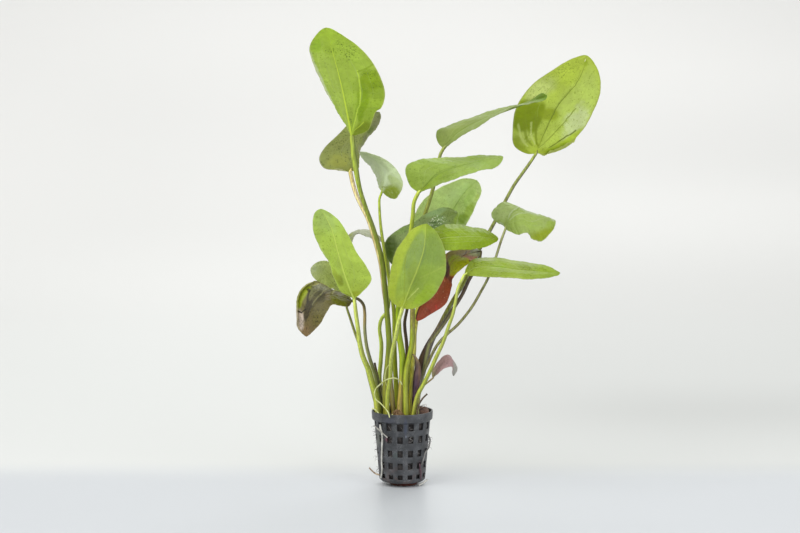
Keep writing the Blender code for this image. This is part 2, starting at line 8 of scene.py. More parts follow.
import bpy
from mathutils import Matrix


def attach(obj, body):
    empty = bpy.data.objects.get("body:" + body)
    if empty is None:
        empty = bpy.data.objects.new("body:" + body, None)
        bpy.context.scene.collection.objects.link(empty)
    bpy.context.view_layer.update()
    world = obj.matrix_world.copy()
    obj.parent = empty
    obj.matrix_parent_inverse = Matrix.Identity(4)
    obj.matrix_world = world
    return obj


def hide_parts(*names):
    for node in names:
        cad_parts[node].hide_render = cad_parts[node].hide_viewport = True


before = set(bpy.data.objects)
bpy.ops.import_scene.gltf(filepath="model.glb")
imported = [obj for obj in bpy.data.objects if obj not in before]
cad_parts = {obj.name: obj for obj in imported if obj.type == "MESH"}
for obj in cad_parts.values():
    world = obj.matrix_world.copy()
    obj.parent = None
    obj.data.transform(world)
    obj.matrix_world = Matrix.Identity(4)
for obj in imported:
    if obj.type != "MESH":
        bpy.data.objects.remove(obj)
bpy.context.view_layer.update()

import logging
import math
from dataclasses import dataclass, field, replace
from enum import Enum

import bpy
import numpy as np

LOG = logging.getLogger("plant")
MM = 0.001
SOIL_TOP = 55.5
VEIN_LANES = (0.22, 0.45, 0.72)
Points = tuple[tuple[float, float, float], ...]
Pairs = tuple[tuple[float, float], ...]
Material, Piece, Socket = bpy.types.Material, bpy.types.Object, bpy.types.NodeSocket
Outputs, Array = bpy.types.bpy_prop_collection, np.ndarray


class Side(Enum):
    """The leaf's own side, looking at its upper face with the tip up."""

    LEFT = 0
    RIGHT = 1


def linear(colour: str) -> tuple[float, float, float, float]:
    """Turn a hex display colour into linear red, green, blue and alpha."""
    parts = [int(colour[i:i + 2], 16) / 255 for i in (1, 3, 5)]
    return (*[p / 12.92 if p <= 0.04045 else ((p + 0.055) / 1.055) ** 2.4 for p in parts], 1.0)


# Curves and meshes


def travelled(line: Array) -> Array:
    """Give how far along a line each of its points lies."""
    return np.concatenate([[0.0], np.cumsum(np.linalg.norm(np.diff(line, axis=0), axis=1))])


def spread(line: Array, count: int) -> Array:
    """Space points evenly along a line of many short steps."""
    reach = travelled(line)
    want = np.linspace(0.0, reach[-1], count)
    return np.stack([np.interp(want, reach, line[:, k]) for k in range(3)], axis=1)


def curve_through(points: Points, count: int, steps: int = 24) -> Array:
    """Space points evenly along a smooth curve.

    Args:
        points: the points that the curve passes through, in millimetres.
        count: how many points to give back.
        steps: how finely each stretch between two points is followed.

    Returns:
        An array of count by 3.
    """
    knots = np.array(points, float)
    ends = np.vstack([2 * knots[0] - knots[1], knots, 2 * knots[-1] - knots[-2]])
    fine = []
    for p0, p1, p2, p3 in zip(ends, ends[1:], ends[2:], ends[3:]):
        t1 = math.sqrt(np.linalg.norm(p1 - p0))
        t2 = t1 + math.sqrt(np.linalg.norm(p2 - p1))
        t3 = t2 + math.sqrt(np.linalg.norm(p3 - p2))
        t = np.linspace(t1, t2, steps, endpoint=False)[:, None]
        a1 = p0 + (p1 - p0) * t / t1
        a2 = p1 + (p2 - p1) * (t - t1) / (t2 - t1)
        a3 = p2 + (p3 - p2) * (t - t2) / (t3 - t2)
        b1 = a1 + (a2 - a1) * t / t2
        b2 = a2 + (a3 - a2) * (t - t1) / (t3 - t1)
        fine.append(b1 + (b2 - b1) * (t - t1) / (t2 - t1))
    return spread(np.vstack([*fine, knots[-1:]]), count)


def rounded_edges(base: tuple, left: Points, tip: tuple, right: Points, count: int) -> list:
    """Run one smooth line round a leaf, and part it at the tip into its two edges.

    Args:
        base: the point where the stalk joins the blade.
        left: the middle points of the left edge, from base to tip.
        tip: the tip.
        right: the middle points of the right edge, from base to tip.
        count: how many points each edge gets.

    Returns:
        The left and the right edge, each an array of count by 3.
    """
    whole = curve_through((base, *left, tip, *right[::-1], base), 3000)
    cut = int(np.argmin(np.linalg.norm(whole - np.array(tip, float), axis=1)))
    return [spread(part, count) for part in (whole[:cut + 1], whole[cut:][::-1])]


def unit(vectors: Array) -> Array:
    """Scale vectors to length one along their last axis."""
    return vectors / np.maximum(np.linalg.norm(vectors, axis=-1, keepdims=True), 1e-9)


def smooth(value: Array, start: float, end: float) -> Array:
    """Rise smoothly from 0 at start to 1 at end."""
    x = np.clip((np.asarray(value, float) - start) / (end - start), 0.0, 1.0)
    return x * x * (3 - 2 * x)


def wavy(place: Array, seed: float) -> Array:
    """Give a soft wandering value between about -1 and 1 for each place along a line."""
    waves = np.sin(place * 1.0 + seed * 7.1) + 0.6 * np.sin(place * 2.3 + seed * 3.7)
    return (waves + 0.4 * np.sin(place * 4.9 + seed * 11.3)) / 2.0


def surface_normals(grid: Array) -> Array:
    """Give the unit normals of a grid of points, on the side of across x along."""
    return unit(np.cross(np.gradient(grid, axis=1), np.gradient(grid, axis=0)))


def ring_faces(rings: int, count: int) -> list:
    """Give the faces between rings of points that follow each other in one list of points."""
    return [
        [i * count + j, (i + 1) * count + j, (i + 1) * count + (j + 1) % count, i * count + (j + 1) % count]
        for i in range(rings - 1) for j in range(count)
    ]


def into_scene(name: str, data: bpy.types.ID) -> Piece:
    """Put a mesh, light or camera into the scene as an object."""
    made = bpy.data.objects.new(name, data)
    bpy.context.scene.collection.objects.link(made)
    return made


def mesh_piece(
    name: str, points: Array, faces: list, finish: Material, uv: Array | None = None,
    crisp: float = 60.0,
) -> Piece:
    """Make one smooth shaded piece that rides on the plant.

    Args:
        name: the piece's name.
        points: its vertices in millimetres.
        faces: its faces, as lists of vertex numbers.
        finish: its material.
        uv: the place on the surface of each face corner, in the order of the faces.
        crisp: edges that turn more than this many degrees stay sharp.

    Returns:
        The new object.
    """
    mesh = bpy.data.meshes.new(name)
    mesh.from_pydata((points * MM).tolist(), [], faces)
    if uv is not None:
        layer = mesh.uv_layers.new(name="Place")
        layer.uv.foreach_set("vector", np.asarray(uv, np.float32).ravel())
    mesh.shade_smooth()
    mesh.set_sharp_from_angle(angle=math.radians(crisp))
    mesh.materials.append(finish)
    piece = into_scene(name, mesh)
    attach(piece, "root")
    return piece


def settle(piece: Piece, slot: str, *nodes: str) -> Piece:
    """Hide the nodes of the frame that a piece stands for, and log its number of faces."""
    if nodes:
        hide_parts(*nodes)
    LOG.info("%s: %d faces", piece.name, len(piece.data.polygons))
    return piece


# Materials


class Wiring:
    """Adds nodes to one tree and links them."""

    def __init__(self, tree: bpy.types.NodeTree) -> None:
        """Keep the tree that the nodes go into."""
        self.tree = tree

    def add(self, kind: str, inputs: dict | None = None, **settings: object) -> bpy.types.Node:
        """Add one node, with its settings and with values or links on its inputs."""
        node = self.tree.nodes.new(f"ShaderNode{kind}")
        for key, value in settings.items():
            setattr(node, key, value)
        for key, value in (inputs or {}).items():
            if isinstance(value, Socket):
                self.tree.links.new(value, node.inputs[key])
            else:
                node.inputs[key].default_value = value
        return node

    def math(self, operation: str, *values: object, clamp: bool = False) -> Socket:
        """Add a Math node and give its result."""
        return self.add("Math", dict(enumerate(values)), operation=operation, use_clamp=clamp).outputs[0]

    def times(self, a: object, b: object) -> Socket:
        """Multiply two values and give the result."""
        return self.math("MULTIPLY", a, b)

    def fit(self, value: object, factor: object, offset: object) -> Socket:
        """Multiply a value, add an offset and give the result."""
        return self.math("MULTIPLY_ADD", value, factor, offset)

    def vector(self, operation: str, *values: object, **more: object) -> Socket:
        """Add a Vector Math node and give its result."""
        outputs = self.add("VectorMath", {**dict(enumerate(values)), **more}, operation=operation).outputs
        return outputs["Value" if operation in ("DOT_PRODUCT", "DISTANCE") else "Vector"]

    def split(self, vector: Socket) -> Outputs:
        """Give the three parts of a vector."""
        return self.add("SeparateXYZ", {0: vector}).outputs

    def mix(self, share: object, a: object, b: object, blend: str = "MIX") -> Socket:
        """Mix two colours and give the result."""
        return self.add("Mix", {0: share, 6: a, 7: b}, data_type="RGBA", blend_type=blend).outputs[2]

    def lay(self, below: Socket, mask: object, tone: str, share: float | None = None) -> Socket:
        """Lay a hex colour over another colour where a mask shows, by a share, and give the result."""
        return self.mix(mask if share is None else self.times(mask, share), below, linear(tone))

    def rise(self, value: object, start: object, end: object, low: float = 0.0, high: float = 1.0) -> Socket:
        """Map a value smoothly from start..end to low..high and give the result."""
        inputs = {0: value, 1: start, 2: end, 3: low, 4: high}
        return self.add("MapRange", inputs, interpolation_type="SMOOTHSTEP").outputs[0]

    def noise(self, place: object, scale: object, detail: float = 3.0) -> Socket:
        """Add a noise texture and give its grey value."""
        return self.add("TexNoise", {"Vector": place, "Scale": scale, "Detail": detail}).outputs[0]

    def object_place(self) -> Socket:
        """Give the place in the object's own coordinates, in metres."""
        return self.add("TexCoord").outputs["Object"]

    def surface_place(self) -> Outputs:
        """Give the parts of the place on the surface, which a piece carries in its UV map."""
        return self.split(self.add("UVMap", uv_map="Place").outputs[0])

    def bump(self, height: Socket, strength: float, distance: float = 0.0003) -> Socket:
        """Turn a height into a normal."""
        inputs = {"Strength": strength, "Distance": distance, "Height": height}
        return self.add("Bump", inputs).outputs[0]

    def shader(self, colour: Socket, roughness: Socket, specular: float, **more: object) -> Socket:
        """Add the Principled shader and give its result."""
        inputs = {"Base Color": colour, "Roughness": roughness, "Specular IOR Level": specular}
        return self.add("BsdfPrincipled", {**inputs, **more}).outputs[0]

    def lit_through(self, shader: Socket, colour: Socket, normal: Socket, share: float) -> Socket:
        """Let a share of the light behind a thin piece through, and give the mixed shader."""
        through = self.add("BsdfTranslucent", {"Color": colour, "Normal": normal}).outputs[0]
        return self.add("MixShader", {0: share, 1: shader, 2: through}).outputs[0]


class EffectGroup(Wiring):
    """A shader node group with named inputs and outputs, built once and used by many finishes."""

    def __init__(self, name: str, inputs: dict, outputs: dict) -> None:
        """Make the group's tree and its sockets.

        Args:
            name: the group's name.
            inputs: each input's name and default number.
            outputs: each output's name and kind, such as Float or Vector.
        """
        super().__init__(bpy.data.node_groups.new(name, "ShaderNodeTree"))
        sockets = self.tree.interface
        for key, value in inputs.items():
            socket = sockets.new_socket(key, in_out="INPUT", socket_type="NodeSocketFloat")
            socket.default_value = value
        for key, kind in outputs.items():
            sockets.new_socket(key, in_out="OUTPUT", socket_type=f"NodeSocket{kind}")
        self.given = self.tree.nodes.new("NodeGroupInput").outputs
        self.result = self.tree.nodes.new("NodeGroupOutput").inputs

    def give(self, key: str, value: Socket) -> None:
        """Link a value to one of the group's outputs."""
        self.tree.links.new(value, self.result[key])

    def use(self, wiring: Wiring, **inputs: object) -> Outputs:
        """Place the group in a material and give its outputs."""
        named = {key.replace("_", " "): value for key, value in inputs.items()}
        return wiring.add("Group", named, node_tree=self.tree).outputs


class Effects:
    """The effects that several finishes share."""

    def __init__(self) -> None:
        """Build each group once."""
        self.place = self._place()
        self.veins = self._veins()
        self.speckles = self._speckles()
        self.patch = self._patch()
        self.stroke = self._stroke()
        self.streaks = self._streaks()
        self.dust = self._dust()

    @staticmethod
    def _place() -> EffectGroup:
        """Where a point lies on its leaf: across from -1 to 1, along from 0 to 1, and which face."""
        g = EffectGroup("place on leaf", {}, {"Across": "Float", "Along": "Float", "Under": "Float"})
        parts = g.surface_place()
        under = g.math("GREATER_THAN", parts[1], 1.5)
        g.give("Across", g.fit(parts[0], 2.0, -1.0))
        g.give("Along", g.fit(under, -2.0, parts[1]))
        g.give("Under", under)
        return g

    @staticmethod
    def _veins() -> EffectGroup:
        """Midrib and the shade beside it, long arcs, faint cross veins, and a fine net."""
        g = EffectGroup(
            "leaf veins", {"Across": 0.0, "Along": 0.0, "Count": 19.0, "Rib": 0.03},
            {"Rib": "Float", "Beside": "Float", "Arcs": "Float", "Cross": "Float", "Net": "Float"},
        )
        across, along = g.given["Across"], g.given["Along"]
        place = g.object_place()
        wander = g.math("SUBTRACT", g.noise(place, 75.0, 2.0), 0.5)
        out = g.math("ABSOLUTE", across)
        rib_width = g.times(g.given["Rib"], g.fit(along, -0.8, 1.0))
        g.give("Rib", g.rise(out, rib_width, g.times(rib_width, 0.35)))
        shifted = g.math("ABSOLUTE", g.fit(rib_width, 1.5, across))
        g.give("Beside", g.rise(shifted, g.times(rib_width, 1.4), 0.0))
        fan = g.rise(along, 0.0, 0.42, 0.3, 1.0)
        lane = g.math("DIVIDE", g.fit(wander, 0.07, out), fan)
        arcs = []
        for centre, width, strength in zip(VEIN_LANES, (0.016, 0.024, 0.018), (0.5, 1.0, 0.45)):
            near = g.math("ABSOLUTE", g.math("SUBTRACT", lane, centre))
            arcs.append(g.rise(near, width, 0.0, 0.0, strength))
        strongest = g.math("MAXIMUM", arcs[0], g.math("MAXIMUM", arcs[1], arcs[2]))
        g.give("Arcs", g.times(strongest, g.rise(along, 0.95, 0.5, 0.1, 1.0)))
        step = g.math("FLOOR", g.times(lane, 4.2))
        slope = g.fit(out, -0.22, along)
        phase = g.fit(wander, 0.16, slope)
        turn = g.fit(phase, g.given["Count"], g.times(step, 0.37))
        edge = g.math("ABSOLUTE", g.math("SUBTRACT", g.math("FRACT", turn), 0.5))
        faded = g.rise(g.noise(place, 120.0, 2.0), 0.35, 0.6)
        g.give("Cross", g.times(g.rise(edge, 0.13, 0.0), faded))
        cells = g.add("TexVoronoi", {"Vector": place, "Scale": 520.0}, feature="DISTANCE_TO_EDGE")
        g.give("Net", g.rise(cells.outputs["Distance"], 0.14, 0.0))
        return g

    @staticmethod
    def _speckles() -> EffectGroup:
        """Irregular spots of many sizes, in loose clouds."""
        inputs = {"Scale": 400.0, "Size": 0.4, "Share": 0.4, "Offset": 0.0}
        g = EffectGroup("speckles", inputs, {"Mask": "Float"})
        shift = g.add("CombineXYZ", {0: g.given["Offset"]}).outputs[0]
        place = g.vector("ADD", g.object_place(), shift)
        warp = g.add("TexNoise", {"Vector": place, "Scale": 900.0, "Detail": 1.0}).outputs[1]
        bent = g.vector("MULTIPLY_ADD", warp, (0.0013, 0.0013, 0.0013), place)
        cells = g.add("TexVoronoi", {"Vector": bent, "Scale": g.given["Scale"]}).outputs
        chance = g.add("SeparateColor", {0: cells["Color"]}).outputs
        radius = g.times(g.given["Size"], g.math("POWER", chance[0], 1.4))
        spot = g.rise(cells["Distance"], radius, g.times(radius, 0.4))
        cloud = g.rise(g.noise(place, 55.0, 2.0), 0.36, 0.62)
        kept = g.math("LESS_THAN", chance[1], g.times(g.given["Share"], cloud))
        g.give("Mask", g.times(spot, kept))
        return g

    @staticmethod
    def _stroke() -> EffectGroup:
        """A thin straight line on the leaf between two places, soft at its edges and ends."""
        inputs = {"Across": 0.0, "Along": 0.0, "From Across": 0.0, "From Along": 0.0, "To Across": 0.0,
                  "To Along": 1.0, "Width": 0.03}
        g = EffectGroup("leaf stroke", inputs, {"Mask": "Float"})
        length = 3.0
        wander = g.math("SUBTRACT", g.noise(g.object_place(), 220.0, 2.0), 0.5)
        bent = g.fit(wander, 0.05, g.given["Across"])
        start, end = g.given["From Across"], g.given["To Across"]
        point, first, last = [
            g.add("CombineXYZ", {0: x, 1: g.times(g.given[y], length)}).outputs[0]
            for x, y in ((bent, "Along"), (start, "From Along"), (end, "To Along"))
        ]
        here, way = g.vector("SUBTRACT", point, first), g.vector("SUBTRACT", last, first)
        dots = [g.vector("DOT_PRODUCT", v, way) for v in (here, way)]
        foot = g.vector("SCALE", way, Scale=g.math("DIVIDE", *dots, clamp=True))
        width = g.given["Width"]
        g.give("Mask", g.rise(g.vector("DISTANCE", here, foot), width, g.times(width, 0.25)))
        return g

    @staticmethod
    def _patch() -> EffectGroup:
        """A soft oval on the leaf, with a ragged edge."""
        inputs = {"Across": 0.0, "Along": 0.0, "At Across": 0.0, "At Along": 0.5, "Reach Across": 0.3,
                  "Reach Along": 0.2, "Ragged": 0.25, "Soft": 0.55}
        g = EffectGroup("leaf patch", inputs, {"Mask": "Float"})
        squares = []
        for way in ("Across", "Along"):
            offset = g.math("SUBTRACT", g.given[way], g.given[f"At {way}"])
            scaled = g.math("DIVIDE", offset, g.given[f"Reach {way}"])
            squares.append(g.times(scaled, scaled))
        away = g.math("SQRT", g.math("ADD", *squares))
        rough = g.math("SUBTRACT", g.noise(g.object_place(), 160.0), 0.5)
        away = g.fit(rough, g.times(g.given["Ragged"], 4.0), away)
        g.give("Mask", g.rise(away, 1.0, g.math("SUBTRACT", 1.0, g.given["Soft"])))
        return g

    @staticmethod
    def _streaks() -> EffectGroup:
        """Fine fibres that run up a stalk or root, and broader blotches."""
        g = EffectGroup("stalk streaks", {"Fineness": 1100.0}, {"Fine": "Float", "Broad": "Float"})
        place = g.object_place()
        narrow, wide = [g.vector("MULTIPLY", place, (1.0, 1.0, squeeze)) for squeeze in (0.06, 0.3)]
        g.give("Fine", g.noise(narrow, g.given["Fineness"], 2.0))
        g.give("Broad", g.noise(wide, 190.0))
        return g

    @staticmethod
    def _dust() -> EffectGroup:
        """Fine dust in clouds, and small pale specks."""
        g = EffectGroup("dust", {"Amount": 0.5}, {"Mask": "Float", "Specks": "Float"})
        place = g.object_place()
        cloud = g.rise(g.noise(place, 130.0, 5.0), 0.42, 0.72)
        fine = g.rise(g.noise(place, 1500.0, 2.0), 0.35, 0.75)
        g.give("Mask", g.times(g.times(cloud, fine), g.given["Amount"]))
        g.give("Specks", g.rise(g.noise(place, 900.0, 1.0), 0.70, 0.78))
        return g


class Finish:
    """What all finishes share: a new material, with the surface that each of them wires."""

    def surface(self, w: Wiring, effects: Effects) -> Socket:
        """Wire the surface and give its shader."""
        raise NotImplementedError

    def build(self, name: str, effects: Effects) -> Material:
        """Make the material.

        Args:
            name: the material's name.
            effects: the shared node groups.

        Returns:
            The new material.
        """
        made = bpy.data.materials.new(name)
        made.use_nodes = True
        made.node_tree.nodes.clear()
        w = Wiring(made.node_tree)
        w.add("OutputMaterial", {"Surface": self.surface(w, effects)})
        return made


@dataclass(frozen=True)
class Patch:
    """A soft oval of another colour on a leaf, at a place across (-100 to 100) and along it (0 to 100).

    The place, the reach and the shares are in percent, and so are the spots that the patch has of their own colour.
    """

    colour: str
    across: float
    along: float
    reach_across: float
    reach_along: float
    share: float = 80
    ragged: float = 25
    soft: float = 55
    spots: float = 0
    spot: str = "#5f7d18"

    def mask(self, w: Wiring, effects: Effects, across: Socket, along: Socket) -> Socket:
        """Give where the patch shows."""
        return effects.patch.use(
            w, Across=across, Along=along, At_Across=self.across / 100, At_Along=self.along / 100,
            Reach_Across=self.reach_across / 100, Reach_Along=self.reach_along / 100,
            Ragged=self.ragged / 100, Soft=self.soft / 100,
        )["Mask"]


@dataclass(frozen=True)
class PotMark(Patch):
    """A patch on the pot, at a place across it and up it in millimetres, with a softer edge."""

    soft: float = 80


@dataclass(frozen=True)
class Stroke:
    """A thin line through places on the leaf, such as a side vein or a crease, all in percent."""

    colour: str
    places: Pairs
    width: float = 3
    share: float = 70

    def lay_on(self, colour: Socket, w: Wiring, effects: Effects, across: Socket, along: Socket) -> Socket:
        """Draw the line over a colour, one stretch after another."""
        for (x0, y0), (x1, y1) in zip(self.places, self.places[1:]):
            mask = effects.stroke.use(
                w, Across=across, Along=along, From_Across=x0 / 100, From_Along=y0 / 100, To_Across=x1 / 100,
                To_Along=y1 / 100, Width=self.width / 100,
            )["Mask"]
            colour = w.lay(colour, mask, self.colour, self.share / 100)
        return colour


@dataclass(frozen=True)
class LeafFinish(Finish):
    """The colours and the surface of one blade; without a colour for its underside it has the upper one."""

    upper: str
    base: str
    tip: str
    margin: str
    under: str = ""
    vein: str = "#b9cc7c"
    rib: str = "#bed077"
    # The speckle colour also paints the shade beside the midrib.
    speckle_and_rib_shade: str = "#64801c"
    speckle_share: float = 0.35
    speckle_size: float = 0.75
    speckle_depth: float = 0.55
    fine_share: float = 0.5
    rib_width: float = 0.03
    rib_share: float = 0.8
    vein_share: float = 0.3
    cross_share: float = 0.10
    margin_share: float = 0.5
    mottle: float = 0.3
    roughness: float = 0.42
    glow: float = 0.25
    patches: tuple[Patch, ...] = ()
    strokes: tuple[Stroke, ...] = ()

    def speckled(self, w: Wiring, effects: Effects, colour: Socket) -> Socket:
        """Lay coarse and fine speckles over a colour."""
        for scale, share, offset in ((650.0, self.speckle_share, 0.0), (1250.0, self.fine_share, 0.37)):
            spots = effects.speckles.use(w, Scale=scale, Size=self.speckle_size, Share=share, Offset=offset)
            colour = w.lay(colour, spots["Mask"], self.speckle_and_rib_shade, self.speckle_depth)
        return colour

    def paint(self, w: Wiring, effects: Effects, place: Outputs, cloud: Socket) -> tuple[Socket, Outputs]:
        """Lay the colours on each other.

        Args:
            w: the material's wiring.
            effects: the shared node groups.
            place: the outputs of the group that gives the place on the leaf.
            cloud: a soft noise that the mottling follows.

        Returns:
            The colour and the vein masks.
        """
        across, along, under = place["Across"], place["Along"], place["Under"]
        veins = effects.veins.use(w, Across=across, Along=along, Rib=self.rib_width)
        colour = w.mix(under, linear(self.upper), linear(self.under or self.upper))
        colour = w.lay(colour, w.rise(along, 0.3, 0.0, 0.0, 0.85), self.base)
        colour = w.lay(colour, w.rise(along, 0.6, 1.0, 0.0, 0.85), self.tip)
        for patch in self.patches:
            mask = patch.mask(w, effects, across, along)
            colour = w.lay(colour, mask, patch.colour, patch.share / 100)
            if patch.spots:
                share = patch.spots / 100
                spots = effects.speckles.use(w, Scale=950.0, Size=0.8, Share=share, Offset=0.53)["Mask"]
                colour = w.lay(colour, w.times(spots, mask), patch.spot, 0.85)
        shade = w.rise(cloud, 0.3, 0.7, 1.0 - self.mottle * 0.35, 1.0 + self.mottle * 0.25)
        grain = w.rise(w.noise(w.object_place(), 330.0, 5.0), 0.3, 0.7, 0.96, 1.04)
        grey = w.add("CombineColor", dict.fromkeys(range(3), w.times(shade, grain))).outputs[0]
        colour = w.mix(1.0, colour, grey, "MULTIPLY")
        for key, share in (("Cross", self.cross_share), ("Net", self.cross_share * 0.5), ("Arcs", self.vein_share)):
            colour = w.lay(colour, veins[key], self.vein, share)
        for stroke in self.strokes:
            colour = stroke.lay_on(colour, w, effects, across, along)
        colour = self.speckled(w, effects, colour)
        # Painted shade beside the midrib, in the speckle colour.
        colour = w.lay(colour, veins["Beside"], self.speckle_and_rib_shade, 0.3)
        colour = w.lay(colour, veins["Rib"], self.rib, self.rib_share)
        wander = w.fit(cloud, 0.03, w.math("ABSOLUTE", across))
        return w.lay(colour, w.rise(wander, 0.965, 1.01, 0.0, self.margin_share), self.margin), veins

    def surface(self, w: Wiring, effects: Effects) -> Socket:
        """Wire the blade's colours, its veins in relief and the light through it."""
        place = effects.place.use(w)
        coords = w.object_place()
        cloud = w.noise(coords, 62.0, 4.0)
        colour, veins = self.paint(w, effects, place, cloud)
        raised = w.fit(veins["Arcs"], 0.8, w.times(veins["Cross"], 0.35))
        raised = w.fit(veins["Net"], 0.14, raised)
        signed = w.times(raised, w.rise(place["Under"], 0.0, 1.0, -1.0, 1.0))
        bump = w.bump(w.fit(w.noise(coords, 420.0), 0.5, signed), 0.5)
        dull = w.rise(cloud, 0.25, 0.75, self.roughness - 0.07, self.roughness + 0.10)
        shader = w.shader(colour, dull, 0.35, Normal=bump)
        lit = w.mix(1.0, colour, (1.0, 1.0, 0.8, 1.0), "MULTIPLY")
        return w.lit_through(shader, lit, bump, self.glow)


@dataclass(frozen=True)
class StalkFinish(Finish):
    """The colours of a stalk at places in percent from under its blade (0) to its foot (100)."""

    stops: tuple[tuple[float, str], ...]
    # The streak colour also paints the shade in two stripes down the sides of the stalk.
    streak_and_side_shade: str = "#5d6a1c"
    blotch: str = "#8a7a3a"
    streak_share: float = 0.6
    blotch_share: float = 0.2
    roughness: float = 0.38
    glow: float = 0.12

    def surface(self, w: Wiring, effects: Effects) -> Socket:
        """Wire the stops along the stalk, painted shade in two dark stripes down its sides and a painted highlight
        stripe, streaks and blotches.
        """
        around, along, _ = w.surface_place()
        fibres = effects.streaks.use(w)
        wander = w.fit(fibres["Broad"], 0.10, along)
        ramp = w.add("ValToRGB", {0: w.math("SUBTRACT", wander, 0.05)})
        ramp.color_ramp.interpolation = "EASE"
        for _ in self.stops[2:]:
            ramp.color_ramp.elements.new(0.5)
        for element, (position, tone) in zip(ramp.color_ramp.elements, self.stops):
            element.position = position / 100
            element.color = linear(tone)
        colour = w.lay(ramp.outputs[0], w.rise(fibres["Fine"], 0.42, 0.66, 0.0, self.streak_share), self.streak_and_side_shade)
        drift = w.fit(fibres["Broad"], 0.10, w.math("SUBTRACT", around, 0.05))
        # Painted shade: two dark stripes down opposite sides of the stalk.
        for centre, reach, share in ((0.03, 0.17, 0.85), (0.60, 0.14, 0.7)):
            turned = w.math("FRACT", w.math("ADD", drift, 0.5 - centre))
            turned = w.math("ABSOLUTE", w.math("SUBTRACT", turned, 0.5))
            colour = w.lay(colour, w.rise(turned, reach, 0.02, 0.0, share), self.streak_and_side_shade)
        # Painted highlight: a pale stripe a third of the way round the stalk.
        turned = w.math("ABSOLUTE", w.math("SUBTRACT", drift, 0.34))
        painted_highlight = w.mix(1.0, colour, (1.65, 1.65, 1.15, 1.0), "MULTIPLY")
        colour = w.mix(w.rise(turned, 0.13, 0.02), colour, painted_highlight)
        colour = w.lay(colour, w.rise(fibres["Broad"], 0.48, 0.68, 0.0, self.blotch_share), self.blotch)
        spots = effects.speckles.use(w, Scale=700.0, Size=0.35, Share=0.3, Offset=0.11)["Mask"]
        colour = w.lay(colour, spots, self.streak_and_side_shade, 0.35)
        bump = w.bump(w.fit(fibres["Broad"], 0.6, fibres["Fine"]), 0.45)
        dull = w.rise(fibres["Broad"], 0.3, 0.7, self.roughness - 0.06, self.roughness + 0.12)
        return w.lit_through(w.shader(colour, dull, 0.45, Normal=bump), colour, bump, self.glow)


@dataclass(frozen=True)
class MatterFinish(Finish):
    """A rough, grainy natural matter such as growing medium, fibre or root, with tones of its own high and low."""

    dark: str
    light: str
    fleck: str
    grain: float = 600.0
    fleck_share: float = 0.5
    roughness: float = 0.9
    relief: float = 0.0005
    high: str = ""
    low: str = ""

    def surface(self, w: Wiring, effects: Effects) -> Socket:
        """Wire the grain, the tones by height, and the flecks."""
        coords = w.object_place()
        coarse, fine = w.noise(coords, self.grain * 0.35, 5.0), w.noise(coords, self.grain * 2.0)
        colour = w.mix(w.rise(coarse, 0.35, 0.65), linear(self.dark), linear(self.light))
        height = w.split(coords)[2]
        for tone, start, end in ((self.high, 0.0525, 0.0555), (self.low, 0.0055, 0.0040)):
            if tone:
                shaded = w.mix(w.rise(coarse, 0.3, 0.7, 0.55, 0.0), linear(tone), linear(self.dark))
                colour = w.mix(w.rise(height, start, end), colour, shaded)
        spots = effects.speckles.use(w, Scale=self.grain, Size=0.5, Share=self.fleck_share, Offset=0.2)["Mask"]
        colour = w.lay(colour, spots, self.fleck)
        bump = w.bump(w.fit(fine, 0.5, coarse), 0.8, self.relief)
        dull = w.rise(fine, 0.3, 0.7, self.roughness - 0.12, self.roughness + 0.05)
        return w.shader(colour, dull, 0.3, Normal=bump)


@dataclass(frozen=True)
class PotFinish(Finish):
    """Dusty, dark moulded plastic with a fine grain, and paler and darker marks at places on its front in
    millimetres.
    """

    plastic: str = "#2f3134"
    worn: str = "#47494d"
    dust: str = "#85878a"
    stain: str = "#5a4038"
    dust_amount: float = 0.6
    marks: tuple[PotMark, ...] = (
        PotMark("#3a4152", 2.6, 51, 2.4, 10), PotMark("#4a4c58", -11, 57, 7, 4, 60), PotMark("#46504e", -4, 28, 5, 5, 70),
        PotMark("#6b3a48", -11.5, 40.5, 3.8, 3, 70), PotMark("#7d8294", 3, 43.6, 0.7, 1.8, 80, 10),
        PotMark("#62665c", -20, 41, 3.2, 11, 70), PotMark("#26282a", 9, 19, 7, 7, 50),
        PotMark("#5a2c3c", 14.4, 17, 1.4, 7, 70, 10), PotMark("#5c5c60", 21, 38, 3, 14, 50),
        PotMark("#626267", -4, 46, 1.2, 30, 35),
    )

    def surface(self, w: Wiring, effects: Effects) -> Socket:
        """Wire the worn plastic, the dust, the marks on the front and the stain low down."""
        coords = w.object_place()
        cloud = w.noise(coords, 75.0, 5.0)
        colour = w.mix(w.rise(cloud, 0.35, 0.7), linear(self.plastic), linear(self.worn))
        dust = effects.dust.use(w, Amount=self.dust_amount)
        colour = w.lay(colour, dust["Mask"], self.dust)
        colour = w.lay(colour, dust["Specks"], self.dust, 0.35)
        side, deep, height = w.split(coords)
        front = w.math("LESS_THAN", deep, 0.0)
        across, up = w.math("DIVIDE", side, 100 * MM), w.math("DIVIDE", height, 100 * MM)
        for mark in self.marks:
            shown = w.times(mark.mask(w, effects, across, up), front)
            colour = w.lay(colour, shown, mark.colour, mark.share / 100)
        low = w.rise(height, 0.026, 0.004, 0.0, 0.4)
        colour = w.lay(colour, w.times(low, w.rise(w.noise(coords, 210.0), 0.45, 0.65)), self.stain)
        bump = w.bump(w.fit(w.noise(coords, 1900.0, 2.0), 0.4, w.noise(coords, 260.0)), 0.3)
        dull = w.math("ADD", w.rise(cloud, 0.3, 0.7, 0.36, 0.50), w.times(dust["Mask"], 0.4))
        return w.shader(colour, dull, 0.5, Normal=bump)


